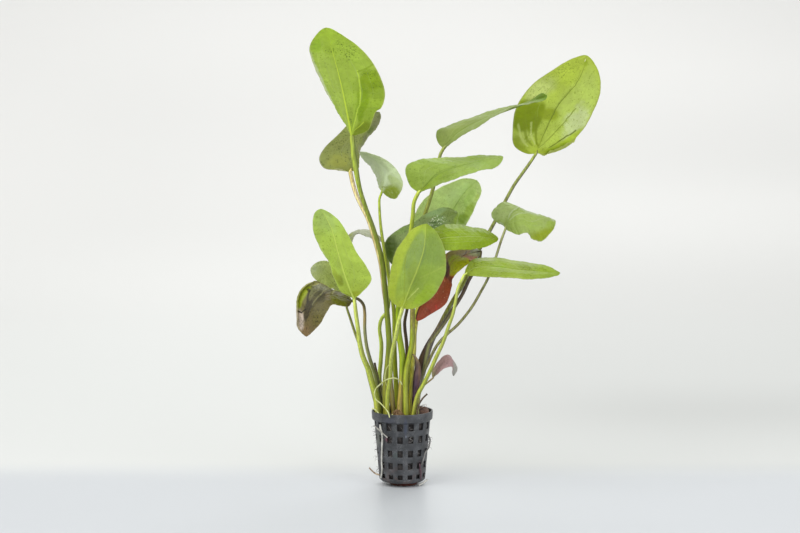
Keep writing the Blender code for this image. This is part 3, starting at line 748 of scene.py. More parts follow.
@dataclass(frozen=True)
class FloorFinish(Finish):
    """The pale table and wall, a little darker where the light falls off."""

    table: str = "#c8ccd0"
    far_table: str = "#cfd1cf"
    wall: str = "#e2e2e0"

    def surface(self, w: Wiring, effects: Effects) -> Socket:
        """Wire the tones from front to back and the soft shades at the sides."""
        x, y, z = w.split(w.object_place())
        back = w.rise(y, 0.0, 0.1)
        colour = w.lay(w.mix(back, linear(self.table), linear(self.far_table)), w.rise(y, 0.4, 2.3), self.wall)
        right = w.times(w.rise(x, -0.12, 0.05, 0.0, 0.13), w.rise(z, 0.15, 0.0))
        right = w.times(right, w.rise(y, 0.08, 0.4))
        wall = w.times(w.rise(z, 0.05, 0.2, 0.0, 0.08), w.rise(z, 0.38, 0.2))
        wall = w.times(wall, w.rise(x, 0.12, 0.35))
        beside = w.times(w.rise(x, 0.08, 0.3, 0.0, 0.07), w.rise(y, 0.0, 0.08))
        right = w.math("ADD", right, w.math("ADD", wall, w.times(beside, w.rise(y, 0.6, 0.3))))
        near = w.rise(w.math("ABSOLUTE", x), 0.0, 0.12, 0.03, 0.09)
        middle = w.times(w.rise(z, 0.0, 0.1, 0.0, 0.05), w.rise(z, 0.45, 0.25))
        middle = w.times(middle, w.rise(w.math("ABSOLUTE", w.math("ADD", x, 0.2)), 0.6, 0.2))
        dim = w.math("ADD", right, w.times(w.math("SUBTRACT", 1.0, back), near))
        colour = w.lay(colour, w.math("ADD", dim, middle), "#000000")
        return w.shader(colour, w.rise(back, 0.0, 1.0, 0.35, 0.9), 0.25)


# Leaves


@dataclass(frozen=True)
class Half:
    """How one half of a blade bulges towards its upper face: by how much and how far out."""

    bulge: float = 1.2
    at: float = 0.5
    crisp: float = 0.35


@dataclass(frozen=True)
class Curl:
    """A margin that rolls over, towards the upper face where the angle is positive."""

    side: Side
    start: float
    end: float
    width: float
    angle: float = 150.0
    radius: float = 0.9


@dataclass(frozen=True)
class Leaf:
    """One leaf: its lines in millimetres, its shape, its finishes and the slots of its blade and stalk.

    The sheath is a thicker part of the stalk: how much thicker, where along it, and how far it
    reaches. A leaf with a stem named here shares that stalk finish, others have their own.
    """

    name: str
    midrib: Points
    left: Points
    right: Points
    stalk: Points
    foot: tuple[float, float]
    radii: tuple[float, float]
    blade: LeafFinish
    patches: tuple[Patch, ...] = ()
    strokes: tuple[Stroke, ...] = ()
    slots: tuple[str, str] = ("leaf_green", "stalk_green")
    stem: str = ""
    halves: tuple[Half, Half] = (Half(), Half())
    curls: tuple[Curl, ...] = ()
    wave: float = 0.5
    waves: float = 5.0
    seed: float = 0.0
    neck: float = 1.3
    sheath: tuple[float, float, float] = (0.0, 1.0, 1.0)


@dataclass
class BladeBuilder:
    """Lofts a blade with veins in relief and rolled margins."""

    leaf: Leaf
    rows: int = 110
    columns: int = 24
    margin_thickness: float = 0.32
    thickness: float = 0.5
    flap_columns: int = 10
    vein_relief: tuple[float, ...] = (0.09, 0.20, 0.09)
    vein_width: float = 0.035

    def outline(self) -> tuple[Array, Array, Array]:
        """Give the midrib and both edges, row by row, with a neck at the base."""
        leaf = self.leaf
        base, tip = leaf.midrib[0], leaf.midrib[-1]
        middle = curve_through(leaf.midrib, self.rows + 1)
        edges = rounded_edges(base, leaf.left, tip, leaf.right, self.rows + 1)
        across = unit(edges[1] - edges[0])
        across[0], across[-1] = across[1], across[-2]
        far = np.arange(self.rows + 1) / self.rows
        least = leaf.neck * (1 - smooth(far, 0.0, 0.06)) + 0.25
        for edge, sign in zip(edges, (-1.0, 1.0)):
            reach = np.linalg.norm(edge - middle, axis=1)
            short = np.clip(1 - reach / least, 0.0, 1.0)[:, None]
            edge += across * sign * least[:, None] * short
        return middle, edges[0], edges[1]

    def sheet(self) -> tuple[Array, Array]:
        """Give the blade's middle surface and how far across each column lies, from -1 to 1."""
        leaf = self.leaf
        middle, port, starboard = self.outline()
        steps = np.linspace(0.0, 1.0, self.columns + 1) ** 1.5
        left = middle[:, None] + (port - middle)[:, None] * steps[::-1][None, :, None]
        right = middle[:, None] + (starboard - middle)[:, None] * steps[None, 1:, None]
        grid = np.concatenate([left, right], axis=1)
        across = np.concatenate([-steps[::-1], steps[1:]])
        far = (np.arange(self.rows + 1) / self.rows)[:, None]
        out = np.abs(across)[None]
        normals = surface_normals(grid)
        widths = [np.linalg.norm(edge - middle, axis=1)[:, None] for edge in (port, starboard)]
        lift = np.zeros(grid.shape[:2])
        for half, width, mask in zip(leaf.halves, widths, (across < 0, across > 0)):
            rise, fall = out / half.at, (1 - out) / (1 - half.at)
            tent = 0.5 * (rise + fall - np.sqrt((rise - fall) ** 2 + half.crisp ** 2))
            share = np.minimum(width / widths[0].max(), 1.0)
            lift += np.where(mask[None], half.bulge * np.maximum(tent, 0.0) * share, 0.0)
        phase = far * leaf.waves * 2 * math.pi + np.where(across < 0, 0.0, 2.4)[None]
        lift += leaf.wave * wavy(phase, leaf.seed) * out ** 2.2 * smooth(far, 0.0, 0.12)
        lift += 0.22 * wavy(far * 34 + out * 5.0, leaf.seed + 2.0) * np.sin(out * math.pi)
        return grid + normals * lift[..., None], across

    def flap(self, grid: Array, curl: Curl) -> Array:
        """Roll a strip over from one edge of the sheet.

        Args:
            grid: the sheet's points.
            curl: where the margin rolls over, how wide and how far.

        Returns:
            The strip's points, row by row from the edge outwards.
        """
        first, inner = (0, 2) if curl.side is Side.LEFT else (-1, -3)
        edge = grid[:, first]
        tangent = unit(np.gradient(edge, axis=0))
        normal = surface_normals(grid)[:, inner]
        outward = edge - grid[:, inner]
        outward = unit(outward - tangent * (outward * tangent).sum(axis=1, keepdims=True))
        normal = unit(normal - outward * (normal * outward).sum(axis=1, keepdims=True))
        far = np.arange(len(edge)) / (len(edge) - 1)
        centre, reach = (curl.start + curl.end) / 2, (curl.end - curl.start) / 2
        window = 1 - smooth(np.abs(far - centre) / reach, 0.45, 1.0)
        width = (curl.width * window + 0.05)[:, None]
        turn = math.radians(abs(curl.angle)) * np.maximum(window, 0.05)[:, None]
        travel = width * (np.arange(1, self.flap_columns + 1) / self.flap_columns)[None]
        swing = np.minimum(travel / curl.radius, turn)
        rest = travel - swing * curl.radius
        sideways = curl.radius * np.sin(swing) + rest * np.cos(turn)
        upwards = math.copysign(1.0, curl.angle) * (curl.radius * (1 - np.cos(swing)) + rest * np.sin(turn))
        return edge[:, None] + sideways[..., None] * outward[:, None] + upwards[..., None] * normal[:, None]

    def with_flaps(self) -> tuple[Array, Array]:
        """Give the sheet with its rolled margins, and how far across each column lies."""
        grid, across = self.sheet()
        for curl in self.leaf.curls:
            strip = self.flap(grid, curl)
            beyond = 1 + 0.1 * np.arange(1, self.flap_columns + 1) / self.flap_columns
            if curl.side is Side.LEFT:
                grid, across = np.concatenate([strip[:, ::-1], grid], 1), np.concatenate([-beyond[::-1], across])
            else:
                grid, across = np.concatenate([grid, strip], 1), np.concatenate([across, beyond])
        return grid, across

    def ridges(self, grid: Array, across: Array, far: Array) -> Array:
        """Give how far the midrib and the long veins stand out at each point of the sheet."""
        middle = int(np.argmin(np.abs(across)))
        away = np.linalg.norm(grid - grid[:, middle:middle + 1], axis=2)
        rib = self.leaf.radii[0] * (1 - 0.72 * far ** 0.6)
        ridge = rib * 0.8 * np.exp(-2.6 * (away / rib) ** 2) * (1 - smooth(far, 0.9, 1.0))
        lane = np.abs(across)[None] / (0.3 + 0.7 * smooth(far, 0.0, 0.42))
        for at, size in zip(VEIN_LANES, self.vein_relief):
            vein = np.exp(-(((lane - at) / self.vein_width) ** 2))
            ridge = ridge + size * vein * (1 - smooth(far, 0.6, 0.95)) * smooth(far, 0.02, 0.15)
        return ridge

    def build(self, finish: Material) -> Piece:
        """Make the closed blade.

        Args:
            finish: the blade's material.

        Returns:
            The new object.
        """
        grid, across = self.with_flaps()
        rows, count = grid.shape[:2]
        far = (np.arange(rows) / (rows - 1))[:, None]
        normals, ridge = surface_normals(grid), self.ridges(grid, across, far)[..., None]
        body = self.thickness + (self.margin_thickness - self.thickness) * smooth(np.abs(across), 0.3, 1.0)
        upper = grid + normals * (body[None, :, None] / 2 - 0.3 * ridge)
        under = grid - normals * (body[None, :, None] / 2 + ridge)
        points = np.concatenate([upper.reshape(-1, 3), under.reshape(-1, 3)])
        below = rows * count
        number = np.arange(below).reshape(rows, count)
        a, b, c, d = number[:-1, :-1], number[:-1, 1:], number[1:, 1:], number[1:, :-1]
        quads = [np.stack([a, b, c, d], -1).reshape(-1, 4)]
        quads.append(np.stack([d, c, b, a], -1).reshape(-1, 4) + below)
        for line, flip in ((number[:, 0], False), (number[:, -1], True), (number[0], True), (number[-1], False)):
            rim = np.stack([line[:-1], line[1:], line[1:] + below, line[:-1] + below], -1)
            quads.append(rim[:, ::-1] if flip else rim)
        parts = np.broadcast_arrays(0.5 + 0.5 * across[None], far)
        place = np.stack(parts, -1).reshape(-1, 2)
        both = np.concatenate([place, place + (0.0, 2.0)])
        uv = [both[quads[0].ravel()], both[quads[1].ravel()]]
        uv += [place[q.ravel() % below] for q in quads[2:]]
        faces = np.concatenate(quads).tolist()
        return mesh_piece(f"leaf_blade_{self.leaf.name}", points, faces, finish, np.concatenate(uv), 50.0)


@dataclass
class RodBuilder:
    """Makes stalks and roots: a tube along a curve, with a radius and a ribbed section."""

    sides: int = 24
    ribs: int = 5
    rib_depth: float = 0.05
    wobble: float = 0.03
    seed: float = 0.0

    def shell(self, line: Array, radii: Array) -> tuple[Array, list, Array]:
        """Give the points, faces and surface places of a closed tube.

        Args:
            line: the points that it follows.
            radii: its radius at each of them.

        Returns:
            Vertices, faces and the place of each face corner.
        """
        tangent = unit(np.gradient(line, axis=0))
        side = np.cross(tangent[0], (0.0, 1.0, 0.0) if abs(tangent[0][1]) < 0.9 else (1.0, 0.0, 0.0))
        turn = np.arange(self.sides) * 2 * math.pi / self.sides
        reach = np.arange(len(line)) / (len(line) - 1)
        swell = 1 + self.wobble * wavy(reach * 25, self.seed)
        rings = []
        for point, radius, grow, direction in zip(line, radii, swell, tangent):
            side = side - direction * np.dot(side, direction)
            side = side / np.linalg.norm(side)
            other = np.cross(direction, side)
            section = radius * grow * (1 + self.rib_depth * np.cos(self.ribs * turn + self.seed))
            rings.append(point + section[:, None] * (np.cos(turn)[:, None] * side + np.sin(turn)[:, None] * other))
        points = np.concatenate([*rings, line[:1], line[-1:]])
        n, last, top = self.sides, (len(line) - 1) * self.sides, len(line) * self.sides
        faces = [[face[3], *face[:3]] for face in ring_faces(len(line), n)]
        uv = [((j + x) / n, far) for here, there in zip(reach, reach[1:]) for j in range(n)
              for x, far in ((1, here), (0, here), (0, there), (1, there))]
        for j in range(n):
            k = (j + 1) % n
            faces += [[j, k, top], [last + k, last + j, top + 1]]
            uv += [(0.5, 0.0)] * 3 + [(0.5, 1.0)] * 3
        return points, faces, np.array(uv)

    def build(self, name: str, line: Array, radii: Array, finish: Material) -> Piece:
        """Make a piece of one tube along a line, with its radius at each point."""
        points, faces, uv = self.shell(line, radii)
        return mesh_piece(name, points, faces, finish, uv)


@dataclass
class LeafBuilder:
    """Builds a leaf's blade and its stalk, which leads a little way under the blade and thins out there."""

    leaf: Leaf
    lead: float = 3.0
    lead_steps: tuple[float, ...] = (1.0, 0.66, 0.33)
    lead_radii: tuple[float, ...] = (0.35, 0.6, 0.82)
    rings: int = 110

    def build(self, effects: Effects, stems: dict) -> None:
        """Make and dress both pieces.

        Args:
            effects: the shared node groups.
            stems: the stalk materials by name.
        """
        leaf = self.leaf
        finish = replace(leaf.blade, patches=leaf.patches, strokes=leaf.strokes)
        finish = finish.build(f"blade {leaf.name}", effects)
        settle(BladeBuilder(leaf).build(finish), leaf.slots[0], f"blade_{leaf.name}")
        line = curve_through((leaf.midrib[0], *leaf.stalk, (*leaf.foot, SOIL_TOP - 0.6)), self.rings)
        rib = curve_through(leaf.midrib, 200)
        reach = travelled(rib)
        lead = [rib[int(np.searchsorted(reach, self.lead * step))] for step in self.lead_steps]
        far = np.linspace(0.0, 1.0, self.rings)
        extra, at, spread_out = leaf.sheath
        radii = leaf.radii[0] + (leaf.radii[1] - leaf.radii[0]) * far
        radii += extra * np.exp(-(((far - at) / spread_out) ** 2))
        radii = np.concatenate([leaf.radii[0] * np.array(self.lead_radii), radii])
        rod, finish = RodBuilder(seed=leaf.seed), stems[leaf.stem or leaf.name]
        stalk = rod.build(f"leaf_stalk_{leaf.name}", np.vstack([lead, line]), radii, finish)
        settle(stalk, leaf.slots[1], f"stalk_{leaf.name}")


STEMS = {
    "tall_left": StalkFinish(
        ((0, "#a9ba50"), (14, "#9fb048"), (35, "#7d8734"), (70, "#7b872c"), (100, "#939041")), streak_and_side_shade="#5b6819",
    ),
    "olive_left": StalkFinish(
        ((0, "#d6ca8a"), (15, "#e2d5b2"), (50, "#dccd9e"), (100, "#bdb274")), streak_and_side_shade="#8a6a34", blotch="#d0a088",
    ),
    "silver_upper": StalkFinish(
        ((0, "#b7cb48"), (30, "#9eab3e"), (70, "#a6b72e"), (100, "#b7c442")), streak_and_side_shade="#738120",
    ),
    "edge_on_top": StalkFinish(
        ((0, "#9faa65"), (50, "#9ca446"), (60, "#bdaa76"), (72, "#9baa31"), (100, "#a3ac45")), streak_and_side_shade="#7a7c1c",
    ),
    "upper_middle": StalkFinish(
        ((0, "#b7c552"), (25, "#a0ae39"), (50, "#95b00d"), (78, "#a0b533"), (88, "#cbb468"), (100, "#cdb37c")),
        streak_and_side_shade="#788c0c", blotch="#c29b5c",
    ),
    "tall_right": StalkFinish(
        ((0, "#b4c257"), (12, "#939e54"), (45, "#949d59"), (62, "#99a652"), (70, "#8a7c74"), (75, "#55464e"),
         (84, "#5b4437"), (92, "#5e4c3a"), (100, "#8b7e43")),
        streak_and_side_shade="#46382c", blotch="#7e6a53",
    ),
    "broad_back": StalkFinish(((0, "#c9db64"), (100, "#b7ca56")), streak_and_side_shade="#8d9c36"),
    "dark_middle": StalkFinish(
        ((0, "#4c412a"), (30, "#413625"), (60, "#5d463d"), (100, "#6d6135")), streak_and_side_shade="#332722", blotch="#6d6035",
    ),
    "front": StalkFinish(((0, "#cbd877"), (40, "#b4be61"), (80, "#a8b34d"), (100, "#a8a74d")), streak_and_side_shade="#838e2e"),
    "crumpled_right": StalkFinish(
        ((0, "#abaf81"), (50, "#95966a"), (80, "#7c7b5e"), (100, "#63613e")), streak_and_side_shade="#473426",
    ),
    "middle_right": StalkFinish(((0, "#ffff74"), (50, "#eae971"), (100, "#c4be48")), streak_and_side_shade="#908739"),
    "low_left": StalkFinish(((0, "#9ba054"), (50, "#939953"), (100, "#7a7e3c")), streak_and_side_shade="#61662e"),
    "drooping_purple": StalkFinish(
        ((0, "#524e43"), (10, "#574a3a"), (22, "#ae9560"), (34, "#959871"), (70, "#80854e"), (100, "#5f6432")),
        streak_and_side_shade="#525525", blotch="#939167",
    ),
    "red": StalkFinish(
        ((0, "#645b39"), (25, "#50433c"), (60, "#7f7f5e"), (100, "#9faa6b")), streak_and_side_shade="#4d3d39", blotch="#625940",
    ),
    "stub_left": StalkFinish(
        ((0, "#4c3e2c"), (12, "#6a5a3e"), (35, "#7d7a48"), (100, "#a5aa62")), streak_and_side_shade="#3c3220",
    ),
    "stub_right": StalkFinish(((0, "#53463a"), (30, "#5c4c40"), (100, "#8a7a6c")), streak_and_side_shade="#382c26"),
    "rolled": StalkFinish(
        ((0, "#4c4a30"), (14, "#6a4e62"), (30, "#6c4f66"), (50, "#5c4054"), (75, "#6e5450"), (100, "#94825c")),
        streak_and_side_shade="#2e2028", blotch="#836474",
    ),
    "young_red": StalkFinish(((0, "#a58d69"), (40, "#b5b679"), (100, "#ccd489")), streak_and_side_shade="#746647"),
}

TALL_LEFT = Leaf(
    "tall_left",
    midrib=((-41, -14, 289), (-46, -20, 316), (-51, -26, 339), (-57, -32, 362), (-61, -36, 376)),
    left=((-28, -11, 294), (-24, -12, 302.5), (-21.5, -15, 309), (-17, -17, 312.5), (-14, -20, 321.5),
          (-16, -25, 333), (-27, -31, 353), (-43.5, -35, 367.5)),
    right=((-48, -8, 301), (-59, -10, 320), (-69.5, -18, 342), (-74.5, -26, 359.5), (-69.5, -33, 369.5)),
    stalk=((-39.5, -13, 274), (-35, -11, 247), (-30, -9, 231), (-23.5, -8, 213), (-17, -7, 189), (-14.5, -6, 167),
           (-12.5, -5, 142), (-11, -4, 117), (-12, -3, 103), (-14, -2, 82)),
    foot=(-13.2, -2.3), radii=(1.3, 2.8), sheath=(0.95, 0.06, 0.11), wave=0.6, seed=0.3,
    blade=LeafFinish("#afc948", "#b9d241", "#b5d33a", "#c7cd7b", under="#b1cb4a", rib="#d7ec4c", speckle_and_rib_shade="#7f9d19",
        rib_width=0.026),
    # Painted light and shade: the two pale patches at across 50 and 100 are painted sheen on the half that faces
    # the light, and the darker patches at across -50 to -85 are painted shade on the half turned away; the darkest,
    # at the base, is the shaded lobe.
    patches=(
        Patch("#bed759", 50, 50, 58, 42, 90, 10), Patch("#e2ebbe", 100, 50, 17, 34, 85, 10),
        Patch("#a8cd2d", 70, 81, 24, 8, 70, 8, 40), Patch("#a0bb31", -70, 35, 60, 25, 80, 10),
        Patch("#97b413", -75, 50, 42, 10, 90, 20, spots=100), Patch("#8eae0d", -50, 30, 16, 26, 90, 10),
        Patch("#a3ba3c", -12, 18, 14, 12, 60, spots=80), Patch("#7f9203", -85, 7, 65, 13, 97, 6, 40),
        Patch("#afc948", -50, 76, 50, 16, 30, spots=100), Patch("#a7c333", 20, 79, 40, 5, 50, spots=100),
    ),
    strokes=(
        Stroke("#cfe851", ((-50, 58), (-41, 40), (-37, 23), (-18, 7)), 2.6, 85),
        Stroke("#8bad0d", ((-36, 40), (-32, 24), (-13, 9)), 4, 50), Stroke("#c7df42", ((-66, 16), (-30, 6)), 2.5),
        Stroke("#8daa1d", ((-100, 61), (-75, 58.5), (-50, 57)), 3, 60),
        Stroke("#d2e46d", ((50, 40), (78, 58), (70, 75)), 2, 40),
    ),
)

OLIVE_LEFT = Leaf(
    "olive_left",
    midrib=((-43, 12, 259), (-39, 18, 274), (-32, 25, 289), (-24, 30, 300), (-19, 34, 308)),
    left=((-55, 6, 261), (-64.5, 6, 262.5), (-68.5, 8, 270), (-65, 12, 278), (-53, 20, 290), (-39, 28, 303)),
    right=((-36.5, 18, 262), (-35.5, 28, 275), (-30, 34, 285), (-25, 37, 291), (-19.5, 38, 298)),
    stalk=((-40.5, 10, 248), (-37, 8, 238), (-33, 7, 230), (-28, 6, 220), (-23.5, 4, 206), (-18, 4, 185),
           (-15, 4, 162), (-12, 4, 137), (-11, 4, 112), (-10, 5, 86)),
    foot=(-7, 5), radii=(1.7, 2.2), slots=("leaf_olive", "stalk_green"), seed=1.1,
    blade=LeafFinish("#929b52", "#979d3c", "#878d5a", "#abac81", vein="#aab07a", rib="#a0a660", speckle_and_rib_shade="#576122",
        speckle_share=0.9, fine_share=0.9),
    patches=(
        Patch("#868658", 50, 57, 70, 6), Patch("#b1b283", 60, 40, 70, 8), Patch("#babc96", 95, 50, 15, 35, 70),
        Patch("#8f953a", 40, 22, 50, 8, 60), Patch("#939466", 30, 85, 50, 8, 70),
        Patch("#abaa83", 90, 90, 20, 10, 60), Patch("#a3a53e", -50, 22, 40, 14, 50),
        Patch("#cacb9d", -95, 10, 25, 6), Patch("#939950", -60, 45, 35, 14, 50, spots=100, spot="#505a20"),
        # Painted shadow of tall_left: the dark olive band at along 70.
        Patch("#6f8306", 30, 70, 50, 7.5, 95, 10),
    ),
)

SILVER_UPPER = Leaf(
    "silver_upper",
    midrib=((-17, 30, 241.5), (-15, 31, 254), (-18, 34, 263), (-25, 39, 270), (-35.5, 44, 274.5)),
    left=((-20, 38, 246), (-21.5, 44, 252), (-24, 48, 257), (-28, 51, 263), (-33.5, 49, 268.5)),
    right=((-10, 20, 237), (-5, 16, 237), (0, 16, 246), (0, 20, 252), (-6.5, 27, 262.5), (-18, 36, 270.5)),
    stalk=((-19, 28, 236), (-19, 26, 227), (-18, 23, 214), (-16, 19, 200), (-13.5, 16, 184), (-10, 14, 163.5),
           (-7, 12, 144), (-6.5, 11.5, 127.5), (-6.5, 11, 112.5), (-6, 11, 97.5), (-5, 11, 78.5)),
    foot=(-4.5, 11), radii=(1.0, 2.3), slots=("leaf_silver", "stalk_green"), seed=2.3,
    blade=LeafFinish("#c0cfa0", "#b8c883", "#c6d4a2", "#bcc98c", under="#b3c686", vein="#cee0a9", rib="#cadda2",
        speckle_and_rib_shade="#9cb16e", speckle_share=0.3, glow=0.18),
    # The pale greyish patches and the broad pale stroke are painted sheen, and the silvery tone of the whole blade
    # is partly its own colour and partly painted sheen.
    patches=(
        Patch("#ceddb5", 10, 32, 30, 26), Patch("#a6b972", 62, 34, 55, 8, 70), Patch("#cbdcab", 80, 55, 50, 16, 70),
        Patch("#b2c48d", 50, 72, 60, 10, 60), Patch("#c5d1a6", -60, 60, 60, 40, 60),
        Patch("#869a09", 86, 17, 64, 17, 98, 5, 35),
    ),
    strokes=(
        Stroke("#dbeac2", ((10, 20), (20, 36), (50, 46), (98, 55)), 7, 40),
        Stroke("#8b9c3b", ((-35, 11), (0, 9), (28, 16), (50, 27)), 5),
    ),
)

EDGE_ON_TOP = Leaf(
    "edge_on_top",
    midrib=((34, 10, 278.5), (44, 10, 289.5), (64, 11, 301.5), (85, 12, 309.5), (102, 13, 315.5), (119, 12, 322)),
    left=((29.5, 20, 283.5), (29, 26, 292.5), (41, 28, 298), (64, 27, 306), (82, 22, 312), (96, 17, 314.5),
          (108, 15, 319.5), (115, 13, 324)),
    right=((37, 2, 280.5), (44, -4, 286.5), (62, -8, 297), (78, -8, 307), (92, -5, 313), (104, 0, 315.5),
           (116, 6, 318)),
    stalk=((31.5, 12, 273.5), (30, 15, 267), (26, 24, 246), (22, 28, 232), (17, 31, 216), (12, 28, 193),
           (9.5, 17, 169), (8.5, 3, 146.5), (8, -4, 119), (5.5, -6, 106), (3, -8, 93)),
    foot=(3.5, -9), radii=(1.4, 2.4), slots=("leaf_silver", "stalk_green"), seed=3.1,
    blade=LeafFinish("#849841", "#899b45", "#698913", "#8b9852", under="#81953c", speckle_and_rib_shade="#6d832a",
        speckle_share=0.3, glow=0.18),
    patches=(
        Patch("#678c12", 0, 97.5, 150, 9, 95, 10, 35), Patch("#698007", 65, 82, 60, 6, 85, 8),
        Patch("#607e07", -10, 95, 100, 6, 90, 5), Patch("#889f3b", 50, 30, 50, 30, 50),
        Patch("#8f9d50", -50, 30, 50, 25, 40),
    ),
)

UPPER_MIDDLE = Leaf(
    "upper_middle",
    midrib=((13, -22, 244), (30, -26, 259), (49, -29, 266), (66, -29, 270), (81, -27, 273)),
    left=((6, -13, 249.5), (3, -8, 264.5), (11, -6, 269), (27, -7, 271.5), (44, -10, 272), (64, -17, 274),
          (75, -23, 274)),
    right=((19, -31, 246.5), (26, -38, 250), (43, -44, 256.5), (61, -44, 262.5), (73, -38, 264.5), (79, -31, 268)),
    stalk=((9.5, -20, 236), (8.5, -18, 225), (6, -16, 205), (2.5, -13, 180), (-2.5, -10, 155), (-3, -6, 130),
           (0, -3, 108), (0, -2, 89)),
    foot=(-2, -2.5), radii=(1.5, 3.0), seed=4.7,
    blade=LeafFinish("#94af44", "#94ad31", "#98b153", "#a5b874", rib="#819831", rib_share=0.4, speckle_and_rib_shade="#698420",
        speckle_share=0.8, fine_share=0.8),
    patches=(
        Patch("#88a424", 40, 35, 55, 14, 85, 10), Patch("#8dab0f", 50, 14, 40, 5, 70),
        Patch("#9ab444", -55, 22, 45, 18, 70), Patch("#90af42", 20, 72, 50, 12, 60),
        Patch("#9fb366", -20, 93, 90, 7, 60), Patch("#b1c076", -95, 62, 20, 10, 60),
        Patch("#93ab17", -92, 49, 12, 4), Patch("#90aa38", -30, 32, 40, 8, 50, spots=100, spot="#5a7715"),
        Patch("#90aa38", 30, 52, 50, 6, 40, spots=90, spot="#5f7c1b"),
    ),
    strokes=(Stroke("#799125", ((-3, 10), (-8, 35), (-6, 60)), 2.5),),
)

TALL_RIGHT = Leaf(
    "tall_right",
    midrib=((112, 34, 273.5), (118, 33, 289), (130, 30, 315), (144, 28, 333), (153, 26, 355)),
    left=((104, 31, 273.5), (93.5, 30, 280), (92, 29, 293), (94.5, 29, 311), (106.5, 27, 329.5), (126, 24, 344),
          (142, 24, 353)),
    right=((121.5, 40, 274), (136, 42, 279), (148.5, 43, 289), (158.5, 42, 304.5), (166, 38, 327),
           (162.5, 32, 344)),
    stalk=((107, 33, 266), (100.5, 32, 257), (94, 30, 248), (86.5, 27, 235), (77, 22, 217), (60, 14, 187),
           (52.5, 12, 168.5), (44.5, 10, 156.5), (36.5, 8, 142.5), (29, 8, 128), (22, 8, 115), (17, 9, 101),
           (14, 10, 86)),
    foot=(10, 11), radii=(1.25, 2.2), sheath=(2.2, 0.81, 0.075), slots=("leaf_green", "stalk_olive"),
    curls=(Curl(Side.RIGHT, 0.02, 0.34, 5.5, 165.0, 0.8),), seed=5.9,
    blade=LeafFinish("#c0d353", "#c0d23e", "#bfd146", "#afb465", under="#b9ca62", vein="#a3b53c", rib="#83952c",
        rib_width=0.018, rib_share=0.4, margin_share=0.6, speckle_and_rib_shade="#8ea223", speckle_share=0.5, fine_share=0.6),
    # Painted light and shade: the three dark patches near along 35 to 39 are the painted shadow of edge_on_top's
    # tip, the near-white spot at the tip is a painted highlight, and the bright patch at across 100, along 20 is
    # painted light against the shading of the rolled lobe.
    patches=(
        Patch("#ccdf70", 50, 60, 70, 40, 70, 10), Patch("#dbe6ac", 70, 42, 40, 20),
        Patch("#c8d580", -70, 60, 40, 16, 80, 15), Patch("#bbce45", -50, 78, 60, 17, 60, spots=100, spot="#72861b"),
        Patch("#c5d36e", -60, 22, 45, 8, 60), Patch("#8ca000", -70, 37, 50, 14, 98, 4, 30),
        Patch("#8ca000", -42, 35, 24, 16, 97, 4, 35), Patch("#9eb017", -8, 38.5, 34, 7.5, 85, 6, 45),
        Patch("#9aac19", -92, 13, 30, 13), Patch("#c6da44", 100, 20, 27, 24, 97, 5, 25),
        Patch("#a1b81d", 20, 92.5, 25, 4, 70), Patch("#ffffce", 3, 95.5, 8, 1.8, 90),
        Patch("#d1e465", 35, 20, 40, 16, 60), Patch("#cbd880", -75, 55, 30, 10, 40, spots=90, spot="#8b9c3e"),
    ),
    strokes=(
        # The next two dark streaks are the streaky lower edge of that painted shadow.
        Stroke("#8c9e11", ((-5, 7), (-20, 12), (-33, 26), (-38, 36)), 6, 80),
        Stroke("#8c9e11", ((-42, 12), (-58, 20), (-72, 32)), 6),
        Stroke("#d2df80", ((-28, 12), (-44, 22), (-50, 31)), 4.5, 65),
        Stroke("#d2df80", ((-60, 13), (-75, 22), (-85, 30)), 5, 55),
        Stroke("#8c9e25", ((6, 6), (26, 12), (34, 28), (42, 42), (48, 52)), 2, 90),
        Stroke("#a0b43c", ((-38, 36), (-45, 44), (-52, 60), (-55, 76)), 1.8, 50),
        Stroke("#788a1d", ((0, 8), (2, 50), (5, 75), (12, 90)), 2, 90),
        # Painted shade along the fold of the rolled lobe.
        Stroke("#728418", ((84, 37), (74, 30), (68, 24), (66, 14)), 3.5, 90),
    ),
)

BROAD_BACK = Leaf(
    "broad_back",
    midrib=((26, 50, 193), (33, 54, 210), (44, 56, 226), (54, 54, 241), (63.5, 50, 250)),
    left=((15, 46, 200), (8, 44, 212), (11, 43, 223), (18, 43, 234), (28.5, 44, 242.5), (40, 46, 248),
          (52, 48, 252)),
    right=((37, 48, 195), (47, 47, 203), (56, 46, 216), (62.5, 46, 230), (67, 47, 242)),
    stalk=((24, 47, 181), (19, 40, 165), (14, 32, 148), (10, 25, 133), (9, 19, 114), (7, 15, 98), (4, 12, 81)),
    foot=(3, 12), radii=(1.2, 2.2), slots=("leaf_silver", "stalk_green"), seed=6.4,
    blade=LeafFinish("#cde38e", "#c6d873", "#cce28d", "#e3ecb7", rib="#b1cc76", rib_share=0.5, speckle_and_rib_shade="#95b155",
        speckle_share=0.6, fine_share=0.7),
    patches=(
        Patch("#bad675", 45, 75, 30, 20, 85), Patch("#abc744", 80, 62, 30, 14, 80, 10),
        Patch("#8bac19", 65, 50, 30, 8), Patch("#d6eda1", -30, 75, 45, 20, 70), Patch("#bdd357", 85, 78, 12, 6, 60),
    ),
)

